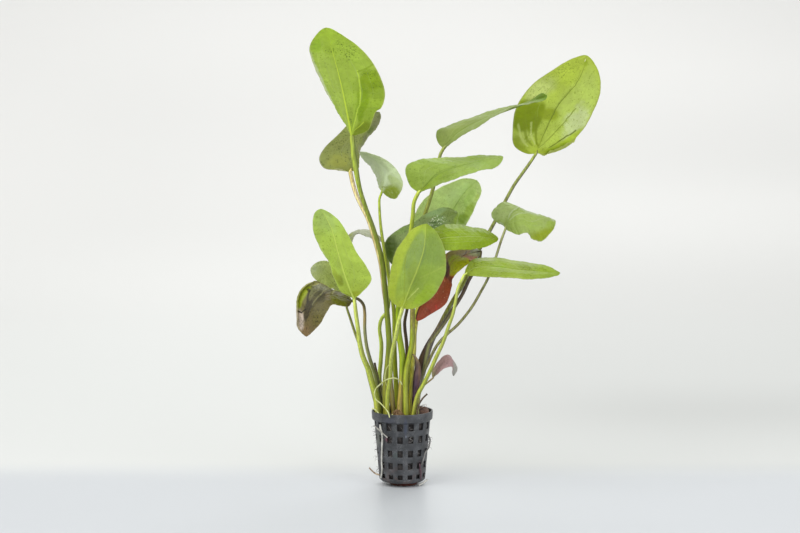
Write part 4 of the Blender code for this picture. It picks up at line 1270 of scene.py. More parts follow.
DARK_MIDDLE = Leaf(
    "dark_middle",
    midrib=((0, 16, 179), (6, 15, 191), (18, 15, 206), (32, 16, 218), (46, 19, 225)),
    left=((-9, 20, 182), (-15, 23, 192), (-13, 25, 202), (-4, 26, 210), (10, 26, 217), (21, 26, 224),
          (35, 24, 229)),
    right=((10, 8, 181), (21, 4, 189), (34, 4, 201), (43, 8, 212), (46, 14, 220)),
    stalk=((1.5, 14, 165), (4.5, 11, 150), (2, 8, 133.5), (3.5, 6, 118), (4, 5, 106), (2, 4, 87)),
    foot=(0.5, 4), radii=(1.0, 1.9), slots=("leaf_dark_green", "stalk_dark"), seed=7.7,
    blade=LeafFinish("#869a58", "#6f8438", "#8aa049", "#a5b47c", vein="#a2b477", rib="#738741", speckle_and_rib_shade="#43581d",
        speckle_share=0.8, fine_share=0.9),
    # The near-white spots in the patches at along 71 and 77 are painted glints of light on the bumpy blade, and the
    # pale greyish patches at along 77 and 80 are painted sheen.
    patches=(
        Patch("#98b43d", 95, 93, 45, 16), Patch("#94b377", -75, 80, 35, 13, 70),
        Patch("#6c8b44", -10, 71, 55, 13, spots=100, spot="#fbffe4"),
        Patch("#94af71", 0, 77, 50, 9, 40, spots=100, spot="#f6fde0"), Patch("#516916", -85, 25, 40, 15, 95),
        Patch("#819f4a", -85, 45, 25, 8, 70),
    ),
    strokes=(
        Stroke("#365320", ((-35, 66), (-10, 70)), 3.5, 80), Stroke("#365320", ((-20, 70), (0, 75)), 3, 80),
        Stroke("#365320", ((-10, 65), (10, 70))),
    ),
)

FRONT = Leaf(
    "front",
    midrib=((0, -44, 152), (6, -47, 169), (12, -49, 184), (17, -48, 200), (19, -42, 220)),
    left=((9, -44, 152), (23, -42, 160), (31, -38, 171), (35, -36, 182), (34.3, -34, 197), (29.4, -34, 210),
          (24, -37, 216.4)),
    right=((-5, -40, 154), (-10, -36, 159), (-11, -32, 169), (-9, -28, 183), (-6, -28, 195), (0, -29, 205),
           (8, -34, 215)),
    stalk=((-3, -40, 141), (-5, -36, 130), (-7, -32, 121), (-9, -25, 108), (-10, -17, 92), (-12, -12, 78)),
    foot=(-12.5, -9), radii=(1.6, 1.9), halves=(Half(1.0), Half(-1.8, 0.5, 0.15)), seed=8.2,
    blade=LeafFinish("#9cb748", "#b1c137", "#aec841", "#b4bc69", under="#9cb747", vein="#b8cb5e", rib="#b8cb58",
        speckle_and_rib_shade="#8ba42a", speckle_share=0.5, fine_share=0.7, rib_width=0.024),
    patches=(
        Patch("#90ac58", -40, 72, 85, 24, 60, 8), Patch("#8ca65c", 22, 64, 40, 30, 65, 4, 30),
        Patch("#94ac45", 12, 38, 26, 25), Patch("#bacd40", 95, 55, 50, 75, 80, 4, 35),
        Patch("#b1ca41", 0, 97, 110, 6), Patch("#a5c42c", -70, 25, 35, 18), Patch("#b4c539", 30, 6, 80, 6, 60),
        Patch("#96b13b", -30, 42, 50, 10, 40),
    ),
    strokes=(
        Stroke("#96a92f", ((6, 8), (20, 22), (36, 40), (52, 58)), 2.5, 75),
        Stroke("#ccdb75", ((-13, 12), (-22, 20), (-33, 29)), 3.5, 80),
        Stroke("#8fa32e", ((-4, 12), (-10, 20), (-20, 31))),
        Stroke("#b8cb58", ((-98, 57), (-60, 50), (-20, 40)), 3, 35),
    ),
)

CRUMPLED_RIGHT = Leaf(
    "crumpled_right",
    midrib=((84, -16, 214), (86, -18, 222), (92, -19, 228), (105, -18, 226), (124.5, -15, 221)),
    left=((82, -13, 217), (77.5, -10, 219), (72.5, -6, 225), (78, -4, 232), (85, -5, 235.5), (96, -8, 230),
          (109, -10, 226), (120, -13, 222.5)),
    right=((88, -22, 212), (94, -27, 210), (101, -31, 212), (105.5, -32, 206.5), (112, -30, 205), (119, -24, 210),
           (124, -18, 216)),
    stalk=((80.5, -15, 204), (76.5, -14, 191), (70.5, -12, 174), (64.5, -10, 162), (56.5, -8, 148), (45.5, -6, 134),
           (37, -4, 126), (30, -4, 118.5), (25.5, -3, 111), (22, -2, 103), (15.5, -1, 87.5)),
    foot=(11.5, -1), radii=(1.0, 1.3), slots=("leaf_green", "stalk_olive"), wave=1.0, waves=4.0, seed=9.5,
    blade=LeafFinish("#a3b95c", "#a2b65b", "#aabc72", "#b6bf86", under="#9eb24c", vein="#b9c78f", rib="#afbf7c",
        speckle_and_rib_shade="#839a37", vein_share=0.2),
    # Painted light and sheen: the pale patch at across -70, along 28 lightens the shading of the crumpled blade,
    # and the pale greyish patches at along 10, 62 and 96 are painted sheen.
    patches=(
        Patch("#9eb750", 45, 40, 30, 35, 60), Patch("#b7c697", -35, 62, 45, 20, 85, 12),
        Patch("#bcce84", -70, 28, 70, 22, 90), Patch("#c0cea8", -70, 10, 35, 6, 70),
        Patch("#afc17c", -10, 30, 25, 15, 50), Patch("#9cb53f", 60, 86, 50, 14),
        Patch("#8fa007", 98, 66, 46, 28, 98, 5, 50), Patch("#c7d0b2", 0, 96, 60, 5, 60),
    ),
    # The three pale strokes are painted sheen.
    strokes=(
        Stroke("#c1cfa4", ((-55, 52), (-25, 42), (-10, 30), (0, 17)), 5, 60),
        Stroke("#c1cfa4", ((-30, 62), (0, 50), (12, 35), (15, 20)), 5, 45),
        Stroke("#89a239", ((-40, 50), (-12, 40), (2, 25)), 4, 60),
        Stroke("#bac88c", ((10, 78), (30, 55), (35, 35)), 4, 30),
    ),
)

MIDDLE_RIGHT = Leaf(
    "middle_right",
    midrib=((19, -14, 199), (31, -17, 206), (47, -20, 208), (63, -20, 208), (78, -18, 206)),
    left=((19, -8, 207), (26, -4, 213), (38, -3, 217), (56, -6, 215), (69.5, -12, 212.5)),
    right=((26, -20, 196), (34, -26, 197), (44, -30, 198), (60, -30, 199), (71, -25, 201.5)),
    stalk=((16, -13, 187), (14, -9, 167), (13, -1, 148), (11.5, 5, 134), (10.5, 7, 125), (10, 6.5, 111),
           (8, 3, 91)),
    foot=(6.5, -1.5), radii=(1.1, 2.0), slots=("leaf_green", "stalk_olive"), seed=10.1,
    blade=LeafFinish("#93af1a", "#88a003", "#8ba204", "#a2b526", speckle_and_rib_shade="#6b8407", speckle_share=0.4,
        fine_share=0.6),
    patches=(
        Patch("#89a101", 10, 94, 150, 17, 97, 15), Patch("#88a207", 90, 72, 60, 30, 80, 20),
        Patch("#9cb824", 10, 48, 90, 18), Patch("#879f02", -10, 25, 140, 8, 90),
        Patch("#8ca712", -70, 70, 50, 20, 50),
    ),
    strokes=(Stroke("#6d820b", ((-98, 56), (-60, 58)), 4, 50),),
)

LONG_RIGHT = Leaf(
    "long_right",
    midrib=((50, -34, 178), (58, -36, 184), (74, -39, 185), (93, -43, 183), (110, -46, 182), (126, -47, 181)),
    left=((52, -28, 184), (56, -24, 189), (65, -22, 191), (78, -23, 191), (92, -27, 189), (106, -33, 187.5),
          (118, -41, 185.5), (124, -44.5, 182.5)),
    right=((57, -42, 178), (70, -50, 178), (84, -54, 178), (99, -56, 177), (112, -55, 177.5), (121, -51, 178.7),
           (124.5, -49.2, 179.4)),
    stalk=((45, -33, 167), (43, -31, 156), (41, -29, 146), (38, -28, 137), (33.5, -25, 123), (27.5, -21, 109),
           (22.5, -18, 97), (17.5, -14, 86), (12, -12, 75)),
    foot=(8.5, -11), radii=(1.2, 1.8), stem="front", wave=0.35, seed=11.6,
    blade=LeafFinish("#97af34", "#92a429", "#92ac2b", "#a4b557", speckle_and_rib_shade="#657914", speckle_share=0.8,
        fine_share=0.8),
    patches=(
        Patch("#aab96a", -75, 30, 35, 11, 90, 5), Patch("#a2b54e", -75, 50, 35, 10, 60),
        Patch("#8db10f", -2, 38, 15, 10), Patch("#92ac2b", 0, 80, 110, 22, 70),
        Patch("#90a42b", -20, 66, 35, 7, 40, spots=100, spot="#4f6311"), Patch("#afbf5c", 97, 50, 12, 40, 60),
    ),
    strokes=(
        Stroke("#79881c", ((-98, 17.5), (-50, 17), (-10, 14)), 4),
        Stroke("#879629", ((-98, 11), (-40, 12), (0, 10)), 4, 50),
    ),
)

FRONT_LEFT = Leaf(
    "front_left",
    midrib=((-39, -28, 158), (-45, -34, 174), (-51, -39, 195), (-57, -42, 217), (-65, -43, 232)),
    left=((-33, -28, 163), (-25, -30, 174), (-29, -33, 185), (-37, -35, 197), (-44, -38, 212), (-53, -41, 225)),
    right=((-50, -25, 164), (-55, -27, 174), (-60, -30, 189), (-67, -33, 201), (-72, -37, 217), (-70, -41, 229)),
    stalk=((-37.5, -27, 144), (-36, -25, 132), (-35, -22, 122), (-32.5, -18, 110), (-28, -13, 98), (-25, -8, 86),
           (-22, -5, 75)),
    foot=(-19.6, -4.5), radii=(1.4, 2.9), stem="front", seed=12.2,
    blade=LeafFinish("#bfd857", "#b9cc45", "#b9d56e", "#cbd890", rib="#d8eb70", speckle_and_rib_shade="#89a222",
        speckle_share=0.5, fine_share=0.8),
    patches=(
        Patch("#909e20", 60, 24, 40, 8, 70, 15), Patch("#aabb3b", 80, 30, 25, 8, 70),
        Patch("#aebb20", -20, 6, 80, 5), Patch("#8a9720", 90, 7, 30, 5), Patch("#bcd672", 0, 85, 110, 14, 60),
        Patch("#cbda86", 97, 55, 12, 20, 50), Patch("#b9d24f", -10, 30, 30, 10, 30, spots=80, spot="#92a729"),
    ),
)

DROOPING_PURPLE = Leaf(
    "drooping_purple",
    midrib=((-41, -8, 154), (-50, -14, 158), (-61, -20, 160), (-70, -25, 154), (-76, -27, 142), (-78, -25, 127)),
    left=((-44.5, -18, 150.5), (-57, -27, 153), (-61, -31, 148), (-66, -32, 139), (-73, -28, 131)),
    right=((-45, -2, 158.5), (-55, -2, 162), (-67, -6, 168), (-77.5, -14, 167), (-84, -19, 159), (-84.6, -23, 147),
           (-84, -24.5, 136), (-82.3, -25, 131.3), (-80.2, -25, 128.2)),
    stalk=((-38, -7, 156), (-34.5, -6, 154), (-32, -6, 150.5), (-31, -5, 144), (-31, -4, 130), (-29.5, -3, 116),
           (-26.5, -2, 104), (-22.5, 0, 91), (-19.5, 2, 77)),
    foot=(-14.5, 3.5), radii=(1.2, 1.75), slots=("leaf_purple", "stalk_dark"),
    curls=(Curl(Side.RIGHT, 0.3, 0.98, 4.5, 150.0, 1.0),), seed=13.4,
    blade=LeafFinish("#686133", "#6d6c27", "#8a7549", "#8e8652", under="#656031", vein="#817d4d", rib="#544d27",
        rib_share=0.3, speckle_and_rib_shade="#322b13", speckle_share=0.7, fine_share=0.7, glow=0.1, mottle=0.6),
    patches=(
        Patch("#63653d", 55, 42, 60, 20, 90, 20), Patch("#72643e", -20, 38, 70, 7, 70, 20),
        Patch("#444027", 10, 46, 60, 10, 80, 20), Patch("#6f682d", -60, 68, 50, 14, 70, spots=100, spot="#362e14"),
        Patch("#94794e", 0, 95, 160, 10, 85), Patch("#d6c6b4", 90, 82, 72, 12, 97, 15, 45),
        Patch("#39321b", 26, 68, 30, 20, 95), Patch("#6f7203", -55, 28, 80, 15, 98, 12, 40),
        Patch("#616205", 15, 12, 80, 7.5, 95), Patch("#4e4522", -95, 12, 40, 10), Patch("#322916", -20, 8, 60, 3),
        Patch("#96a41c", 102, 60, 42, 17, 98, 8, 35), Patch("#c2c07b", 100, 44, 20, 8),
    ),
    strokes=(
        Stroke("#bebb77", ((10, 30), (50, 25), (98, 21)), 5, 40),
        Stroke("#97965e", ((12, 60), (18, 45), (50, 32), (90, 29)), 5, 35),
        Stroke("#878555", ((35, 58), (50, 44), (90, 37)), 5, 30),
        Stroke("#36311c", ((5, 55), (12, 40), (40, 28)), 5, 60),
        Stroke("#292313", ((40, 62), (70, 52), (85, 52)), 7, 80),
        Stroke("#201b0e", ((35, 69), (65, 75), (100, 75.5)), 3.5, 95),
        Stroke("#342c18", ((35, 80), (60, 85), (100, 90)), 2.5, 45),
    ),
)

ARCHED = Leaf(
    "arched",
    midrib=((-15, 28, 199), (-25, 27, 206), (-35, 25, 208), (-43, 21, 204), (-48, 18, 194), (-46, 16, 181)),
    left=((-19, 20, 201), (-29, 15, 205), (-37, 12, 208), (-42, 9, 201), (-42, 9, 191)),
    right=((-17, 36, 202), (-28, 39, 209), (-37, 37, 209), (-46, 33, 205), (-54, 28, 195), (-53, 21, 185)),
    stalk=((-12, 23, 183), (-11, 20, 164), (-12.5, 18, 143), (-17.5, 16, 136), (-19, 16, 128.5), (-17.5, 14, 115),
           (-18, 12, 102), (-19, 12, 85)),
    foot=(-14.5, 10.5), radii=(1.1, 2.0), slots=("leaf_olive", "stalk_green"), stem="broad_back", seed=14.8,
    blade=LeafFinish("#999e7e", "#88914e", "#87915d", "#acae99", under="#a2a58e", speckle_and_rib_shade="#68713a",
        speckle_share=0.4, glow=0.12),
    patches=(Patch("#838f3b", 30, 55, 40, 6, 70), Patch("#87934c", -60, 58, 50, 6, 60)),
)

LOW_LEFT = Leaf(
    "low_left",
    midrib=((-47, 8, 153), (-55, 9, 164), (-64, 10, 174), (-76, 10, 179)),
    left=((-54, 3, 161), (-68, 5, 167), (-75, 8, 174)),
    right=((-48, 12, 164), (-54, 14, 177), (-63, 14, 185), (-71, 12, 184)),
    stalk=((-46, 6, 147), (-43, 4, 138), (-39.5, 4, 127), (-35.5, 4, 116), (-31, 4, 102), (-27, 6, 86)),
    foot=(-19, 6), radii=(0.95, 1.7), slots=("leaf_olive", "stalk_olive"), seed=15.5,
    blade=LeafFinish("#a7b55e", "#95a241", "#b0bb86", "#b5bc8a", under="#a1b163", vein="#bfc98a", rib="#b1be72",
        speckle_and_rib_shade="#66712e", speckle_share=0.9, fine_share=0.9),
    patches=(Patch("#8c992e", -65, 42, 35, 6, 70), Patch("#b7c193", 0, 93, 100, 8, 60)),
)

RED = Leaf(
    "red",
    midrib=((64.5, -4, 194.5), (53, -7, 192), (41, -10, 187), (37, -12, 174), (33, -12, 161), (24, -12, 149),
            (12, -11, 138)),
    left=((62.5, -12, 191), (56, -18, 187), (46, -20, 180), (41, -18, 173), (40, -16, 166), (36, -14, 153),
          (24, -12, 144)),
    right=((61, 4, 196), (49, 8, 196), (37, 8, 192), (31, 6, 182), (28, 4, 169), (21, 0, 157), (13, -5, 147)),
    stalk=((63, -4, 187), (59.5, -4, 179), (55, -3, 171), (50, -2, 160), (45.5, 0, 152), (41, 0, 145),
           (36.5, 0, 137.5), (29.5, 0, 127.5), (23, 1, 118), (20, 2, 107), (18, 3, 95), (14.5, 4, 82)),
    foot=(11.5, 4.5), radii=(1.3, 2.0), slots=("leaf_red", "stalk_dark"), seed=16.9,
    blade=LeafFinish("#b45539", "#9d844d", "#ad4c33", "#4e2c1d", under="#a05933", vein="#cd784b", rib="#b25d3f",
        speckle_and_rib_shade="#3e2317", speckle_share=0.4, glow=0.15, vein_share=0.2, mottle=0.4),
    patches=(
        Patch("#a84d34", -20, 70, 100, 24, 25, spots=60, spot="#dfa184"), Patch("#c25143", -30, 78, 90, 10, 70, 30),
        Patch("#bd582f", -20, 53, 120, 10, 70), Patch("#67702f", 20, 6, 240, 8, 95, 10, 40),
        Patch("#adad75", -30, 11.5, 60, 5), Patch("#9a844f", 60, 25, 95, 15, 97, 10, 35),
        Patch("#b8be17", -50, 31, 105, 13.5, 98, 6, 30), Patch("#662f1a", -60, 45.5, 90, 3, 70, 10),
        Patch("#4b2a1c", 22, 42, 60, 8.5, 97, 8, 40), Patch("#3e2315", 100, 95, 35, 14, 90),
    ),
    strokes=(
        Stroke("#e24e41", ((-70, 78), (-20, 76)), 4, 60), Stroke("#8e3826", ((-80, 86), (10, 84)), 4, 50),
        Stroke("#f6ac78", ((-98, 62), (-99, 90)), 4, 60), Stroke("#3b2f1a", ((-20, 22), (15, 16), (40, 16)), 4),
        Stroke("#e29160", ((10, 52), (25, 51)), 4),
    ),
)

YOUNG_RED = Leaf(
    "young_red",
    midrib=((25, -12, 90.5), (28.5, -13, 97.5), (34, -14, 104), (39.5, -14, 106), (43, -13, 101),
            (42.3, -12, 92.5)),
    left=((24.3, -9, 94.5), (27, -8, 100), (33.5, -8, 108), (38, -9, 109.5), (42, -9, 105), (45.3, -9, 98.5)),
    right=((28.5, -17, 94.5), (33.3, -19, 99), (38, -19, 101), (40.7, -18, 101), (41, -15, 95.5)),
    stalk=((21, -10.5, 87), (17.7, -9, 83.8), (14.8, -7.5, 77.5)),
    foot=(12.8, -6.8), radii=(0.7, 0.8), slots=("leaf_red", "stalk_dark"), halves=(Half(0.5), Half(0.5)), neck=0.6,
    wave=0.3, waves=3.0, seed=17.3,
    blade=LeafFinish("#af8c8d", "#a5a76e", "#a6ada2", "#bfafad", under="#a58a85", vein="#c8b4b2", rib="#a58585",
        speckle_and_rib_shade="#6e5c59", speckle_share=0.3, fine_share=0.4, glow=0.15),
    patches=(Patch("#aaaca2", 0, 80, 110, 16),),
)

LEAVES = (
    TALL_LEFT, OLIVE_LEFT, SILVER_UPPER, EDGE_ON_TOP, UPPER_MIDDLE, TALL_RIGHT, BROAD_BACK, DARK_MIDDLE, FRONT,
    CRUMPLED_RIGHT, MIDDLE_RIGHT, LONG_RIGHT, FRONT_LEFT, DROOPING_PURPLE, ARCHED, LOW_LEFT, RED, YOUNG_RED,
)


# Pot, growing medium and roots


@dataclass
class NetPot:
    """A round pot with a smooth rim band and a wall of square holes, in which steps are a hole's faces across."""

    top: float = 62.0
    rim_radius: float = 25.4
    band_bottom: float = 54.8
    body_top_radius: float = 23.3
    body_bottom_radius: float = 19.0
    wall: float = 1.2
    edge: float = 0.22
    columns: int = 15
    hole_rows: Pairs = ((54.2, 48.0), (43.3, 37.5), (31.5, 25.9), (20.9, 15.5), (10.7, 7.0))
    turn: float = math.radians(-5.1)
    floor_edge: float = 17.0
    floor_z: float = 3.6
    floor_hole: float = 13.6
    steps: int = 4

    def profile(self) -> tuple[list, list]:
        """Give the wall's outline from rim to floor, and the first line of each row of holes."""
        slope = (self.body_top_radius - self.body_bottom_radius) / (self.band_bottom - self.floor_z)
        lines = [(self.rim_radius - 0.1, self.top), (self.rim_radius, self.top - 0.9),
                 (self.rim_radius - 0.15, self.band_bottom + 2.2),
                 (self.rim_radius - 0.35, self.band_bottom + 0.7)]
        holed = []
        for row in self.hole_rows:
            holed.append(len(lines))
            lines += [(self.body_bottom_radius + slope * (z - self.floor_z), z) for z in row]
        lines += [(self.body_bottom_radius + 0.05, 5.2), (self.floor_edge + 0.9, self.floor_z + 0.35),
                  (self.floor_edge - 0.4, self.floor_z), (self.floor_hole, self.floor_z)]
        return lines, holed

    def build(self, finish: Material) -> Piece:
        """Make the pot.

        Args:
            finish: the pot's material.

        Returns:
            The new object.
        """
        lines, holed = self.profile()
        count = 2 * self.columns * self.steps
        start = self.turn - math.pi / 2 - math.pi / (2 * self.columns)
        angles = start + 2 * math.pi * np.arange(count) / count
        ring = np.stack([np.cos(angles), np.sin(angles)], -1)
        points = np.concatenate([
            np.column_stack([(radius - self.wall / 2) * ring, np.full(count, z)]) for radius, z in lines
        ])
        faces = [
            face for number, face in enumerate(ring_faces(len(lines), count))
            if number // count not in holed or number % count // self.steps % 2
        ]
        pot = mesh_piece("net_pot", points, faces, finish, crisp=40.0)
        wall = pot.modifiers.new("wall", "SOLIDIFY")
        wall.thickness, wall.offset = self.wall * MM, 0.0
        soft = pot.modifiers.new("soft edges", "BEVEL")
        soft.width, soft.segments, soft.angle_limit = self.edge * MM, 2, math.radians(50)
        return settle(pot, "pot_plastic", "pot")


@dataclass
class GrowingMedium:
    """The plug that fills the pot, its foot, the heap of coir at its right, and the roots and fibres on it."""

    top_radius: float = 21.2
    low_radius: float = 17.9
    side_top: float = 53.0
    side_bottom: float = 11.0
    foot_radius: float = 11.4
    foot_x: float = 1.2
    sides: int = 110
    rough: float = 0.45
    heap: float = 7.4
    heap_turn: float = 0.5
    heap_spread: float = 0.75
    inner_roots: int = 170
    fibres: int = 330
    fibre_reach: float = 20.5
    inside_rim: float = 22.6
    seed: int = 11

    def side_radius(self, z: float) -> float:
        """Give the plug's radius at a height on its side."""
        share = (self.side_top - z) / (self.side_top - self.side_bottom)
        return self.top_radius + (self.low_radius - self.top_radius) * share

    def heap_at(self, angle: Array | float) -> Array | float:
        """Give the share of the heap's height at an angle round the plug."""
        turned = (angle - self.heap_turn + math.pi) % (2 * math.pi) - math.pi
        return np.exp(-((turned / self.heap_spread) ** 4))

    def outline(self) -> list:
        """Give radius, height and centre from the middle of the top to the middle of the underside."""
        corner = [(r, SOIL_TOP, 0.0) for r in (0.5, 4.0, 8.0, 12.0, 16.0, 19.0)]
        corner += [(20.4, SOIL_TOP - 0.6, 0.0), (self.top_radius, SOIL_TOP - 2.0, 0.0)]
        side = [(self.side_radius(z), z, 0.0) for z in np.linspace(self.side_top, self.side_bottom, 26)]
        low = [(17.2, 7.5, 0.0), (15.4, 5.2, 0.0), (12.6, 5.0, 0.6)]
        low += [(self.foot_radius, z, self.foot_x) for z in (4.6, 3.4, 2.2, 1.0)]
        low += [(self.foot_radius - 0.5, 0.3, self.foot_x), (self.foot_radius - 1.2, 0.0, self.foot_x)]
        return corner + side + low + [(r, 0.0, self.foot_x) for r in (7.0, 3.0, 0.4)]

    def build(self, finish: Material) -> Piece:
        """Make the rough plug.

        Args:
            finish: the plug's material.

        Returns:
            The new object.
        """
        rings = self.outline()
        angles = 2 * math.pi * np.arange(self.sides) / self.sides
        points = []
        for radius, z, centre in rings:
            bumps = wavy(angles * 9 + z * 1.3, 1.0) * wavy(angles * 23 + z * 2.9, 2.0)
            bumps = bumps + 0.5 * wavy(angles * 41 + z * 5.1 + radius, 3.0)
            swell = self.rough * bumps * (smooth(z, 0.0, 2.5) * smooth(radius, 2.0, 10.0))
            flat = z > SOIL_TOP - 0.5
            heap = self.heap_at(angles) * smooth(z, 50.0, 55.0)
            out = radius + (0.0 if flat else swell) + 2.0 * heap * smooth(radius, 17.0, 21.0)
            up = z + (1.6 * swell - 0.3 if flat else 0.0)
            up = up + heap * smooth(radius, 8.0, 17.0) * (self.heap + 1.2 * bumps)
            points.append(np.column_stack([centre + out * np.cos(angles), out * np.sin(angles), up]))
        n = self.sides
        faces = ring_faces(len(rings), n)
        faces.append(list(range(n)))
        faces.append([(len(rings) - 1) * n + j for j in reversed(range(n))])
        plug = mesh_piece("growing_medium", np.concatenate(points), faces, finish, crisp=80.0)
        return settle(plug, "growing_medium", "substrate")

    def entangle(self, finish: Material) -> Piece:
        """Lay thin roots on the plug's side, where they show behind the holes of the pot.

        Args:
            finish: the roots' material.

        Returns:
            The new object, all roots in one mesh.
        """
        draw = np.random.default_rng(self.seed + 1).uniform
        strands = Strands(sides=5)
        for _ in range(self.inner_roots):
            turn, z, heading = draw(0, 2 * math.pi), draw(8.0, 52.0), draw(-1.3, 1.3)
            length, bend = draw(3.0, 10.0), draw(-0.8, 0.8)
            knots = []
            for s in (0.0, 0.25, 0.5, 0.75, 1.0):
                high = min(max(z + length * s * math.sin(heading + bend * s), 7.5), 52.5)
                away = self.side_radius(high) + 0.35
                angle = turn + length * s * math.cos(heading + bend * s) / away
                knots.append((away * math.cos(angle), away * math.sin(angle), high))
            strands.add(curve_through(knots, 10), draw(0.15, 0.38), draw(0.08, 0.2))
        return settle(strands.build("inner_roots", finish), "root_pale")

    def scatter(self, finish: Material) -> Piece:
        """Lay fine curved coir fibres on the plug's top and round its foot.

        Args:
            finish: the fibres' material.

        Returns:
            The new object, all fibres in one mesh.
        """
        draw = np.random.default_rng(self.seed).uniform
        strands = Strands(sides=3)
        for index in range(self.fibres):
            angle, away = draw(0, 2 * math.pi), math.sqrt(draw(0.02, 1.0))
            heading, length = draw(0, 2 * math.pi), draw(3.0, 9.0)
            outward = np.array([math.cos(angle), math.sin(angle), 0.0])
            if index % 4:
                away *= self.fibre_reach
                heap = self.heap * self.heap_at(angle) * float(smooth(away, 8.0, 17.0))
                start = outward * away + (0, 0, SOIL_TOP + 0.2 + heap)
                lift = draw(0.2, 2.6)
            else:
                start = outward * 11.0 + (self.foot_x, 0, 0.5)
                length, lift = length * 0.35, 0.5
            way = np.array([math.cos(heading), math.sin(heading), 0.0])
            bend = np.array([-way[1], way[0], 0.0]) * draw(-1.5, 1.5)
            knots = []
            for s in (0.0, 0.33, 0.66, 1.0):
                knot = start + way * length * s + bend * math.sin(s * 3) + (0, 0, lift * math.sin(s * math.pi))
                inwards = min(1.0, self.inside_rim / math.hypot(knot[0], knot[1]))
                knots.append(knot * (inwards, inwards, 1.0))
            strands.add(curve_through(knots, 7), draw(0.07, 0.16), draw(0.05, 0.1))
        return settle(strands.build("coir_fibres", finish), "growing_medium")


@dataclass
class Strands:
    """Many thin tapered strands in one mesh."""

    sides: int = 5
    points: list = field(default_factory=list)
    faces: list = field(default_factory=list)
    uv: list = field(default_factory=list)
    total: int = 0

    def add(self, line: Array, first: float, last: float) -> None:
        """Add one strand along a line, with its radius at each end."""
        rod = RodBuilder(sides=self.sides, rib_depth=0.0, wobble=0.12, seed=self.total * 0.7)
        points, faces, uv = rod.shell(line, np.linspace(first, last, len(line)))
        self.points.append(points)
        self.faces += [[v + self.total for v in face] for face in faces]
        self.uv.append(uv)
        self.total += len(points)

    def build(self, name: str, finish: Material) -> Piece:
        """Join all strands in one piece."""
        return mesh_piece(name, np.concatenate(self.points), self.faces, finish, np.concatenate(self.uv), 70.0)


@dataclass(frozen=True)
class Root:
    """A root on the outside, by its radius, its slot, its finish and its points."""

    name: str
    radius: float
    slot: str
    finish: str
    points: Points


ROOTS = (
    Root("root_loop", 0.55, "root_pale", "root green", (
        (-0.3, -13.5, 85.5), (-2.2, -15, 89), (-7, -20, 92), (-13, -20, 90.5), (-18.2, -15.5, 86),
        (-22, -12.5, 81.5), (-23, -11.5, 77.5), (-21.7, -11, 72.7), (-18.5, -11, 70), (-14.5, -14, 66.3),
        (-11.3, -22.6, 63.3), (-10.5, -26.3, 60.5),
    )),
    Root("root_green", 0.6, "stalk_green", "root green", (
        (-25, -3, 63.8), (-22.2, -9, 63.8), (-18.5, -12.9, 60.3), (-14.9, -16.7, 59), (-11.7, -17.6, 59),
        (-9.4, -16.7, 60), (-8, -15.3, 61),
    )),
    Root("root_thin", 0.4, "root_pale", "root green", (
        (-11, -8.5, 101.5), (-13.4, -8, 97), (-14.4, -7.5, 89.5), (-13, -7.5, 83.5),
    )),
    Root("root_pot_left", 0.75, "root_pale", "root white", (
        (-18.3, -16.1, 52.7), (-17.9, -16.1, 49.3), (-16.8, -16.7, 45.2), (-16.5, -16.5, 41), (-16.8, -15.3, 33),
        (-17.1, -13.6, 22.3), (-16.8, -12.9, 13.6), (-17.8, -10.4, 7),
    )),
    Root("root_cross", 0.6, "root_pale", "root dull", (
        (-23, -7.7, 50), (-20.8, -13.8, 49.3), (-16.8, -20.5, 46.8), (-12.2, -21, 42.7),
    )),
    Root("root_tan", 0.7, "root_brown", "root brown", (
        (-18.8, -9.5, 9.2), (-21.9, -10, 10.4), (-25, -9.5, 12.7), (-27.5, -9, 15.3),
    )),
    Root("root_foot_right", 0.75, "root_pale", "root white", (
        (20.8, -6, 4.6), (17.3, -8, 2.2), (13.9, -12, 1.2),
    )),
    Root("root_side_right", 0.6, "root_pale", "root grey", (
        (22, -8, 41.8), (23, -4, 37), (21.9, -6, 31.6), (19.3, -11.4, 29), (17.3, -13.6, 22.6), (15.9, -14.5, 18.6),
    )),
    Root("root_red_right", 0.6, "root_brown", "root dark", (
        (14.3, -16.1, 19.8), (15.2, -14.7, 13.9), (15.4, -13.8, 9.2), (15.2, -13.6, 6),
    )),
)


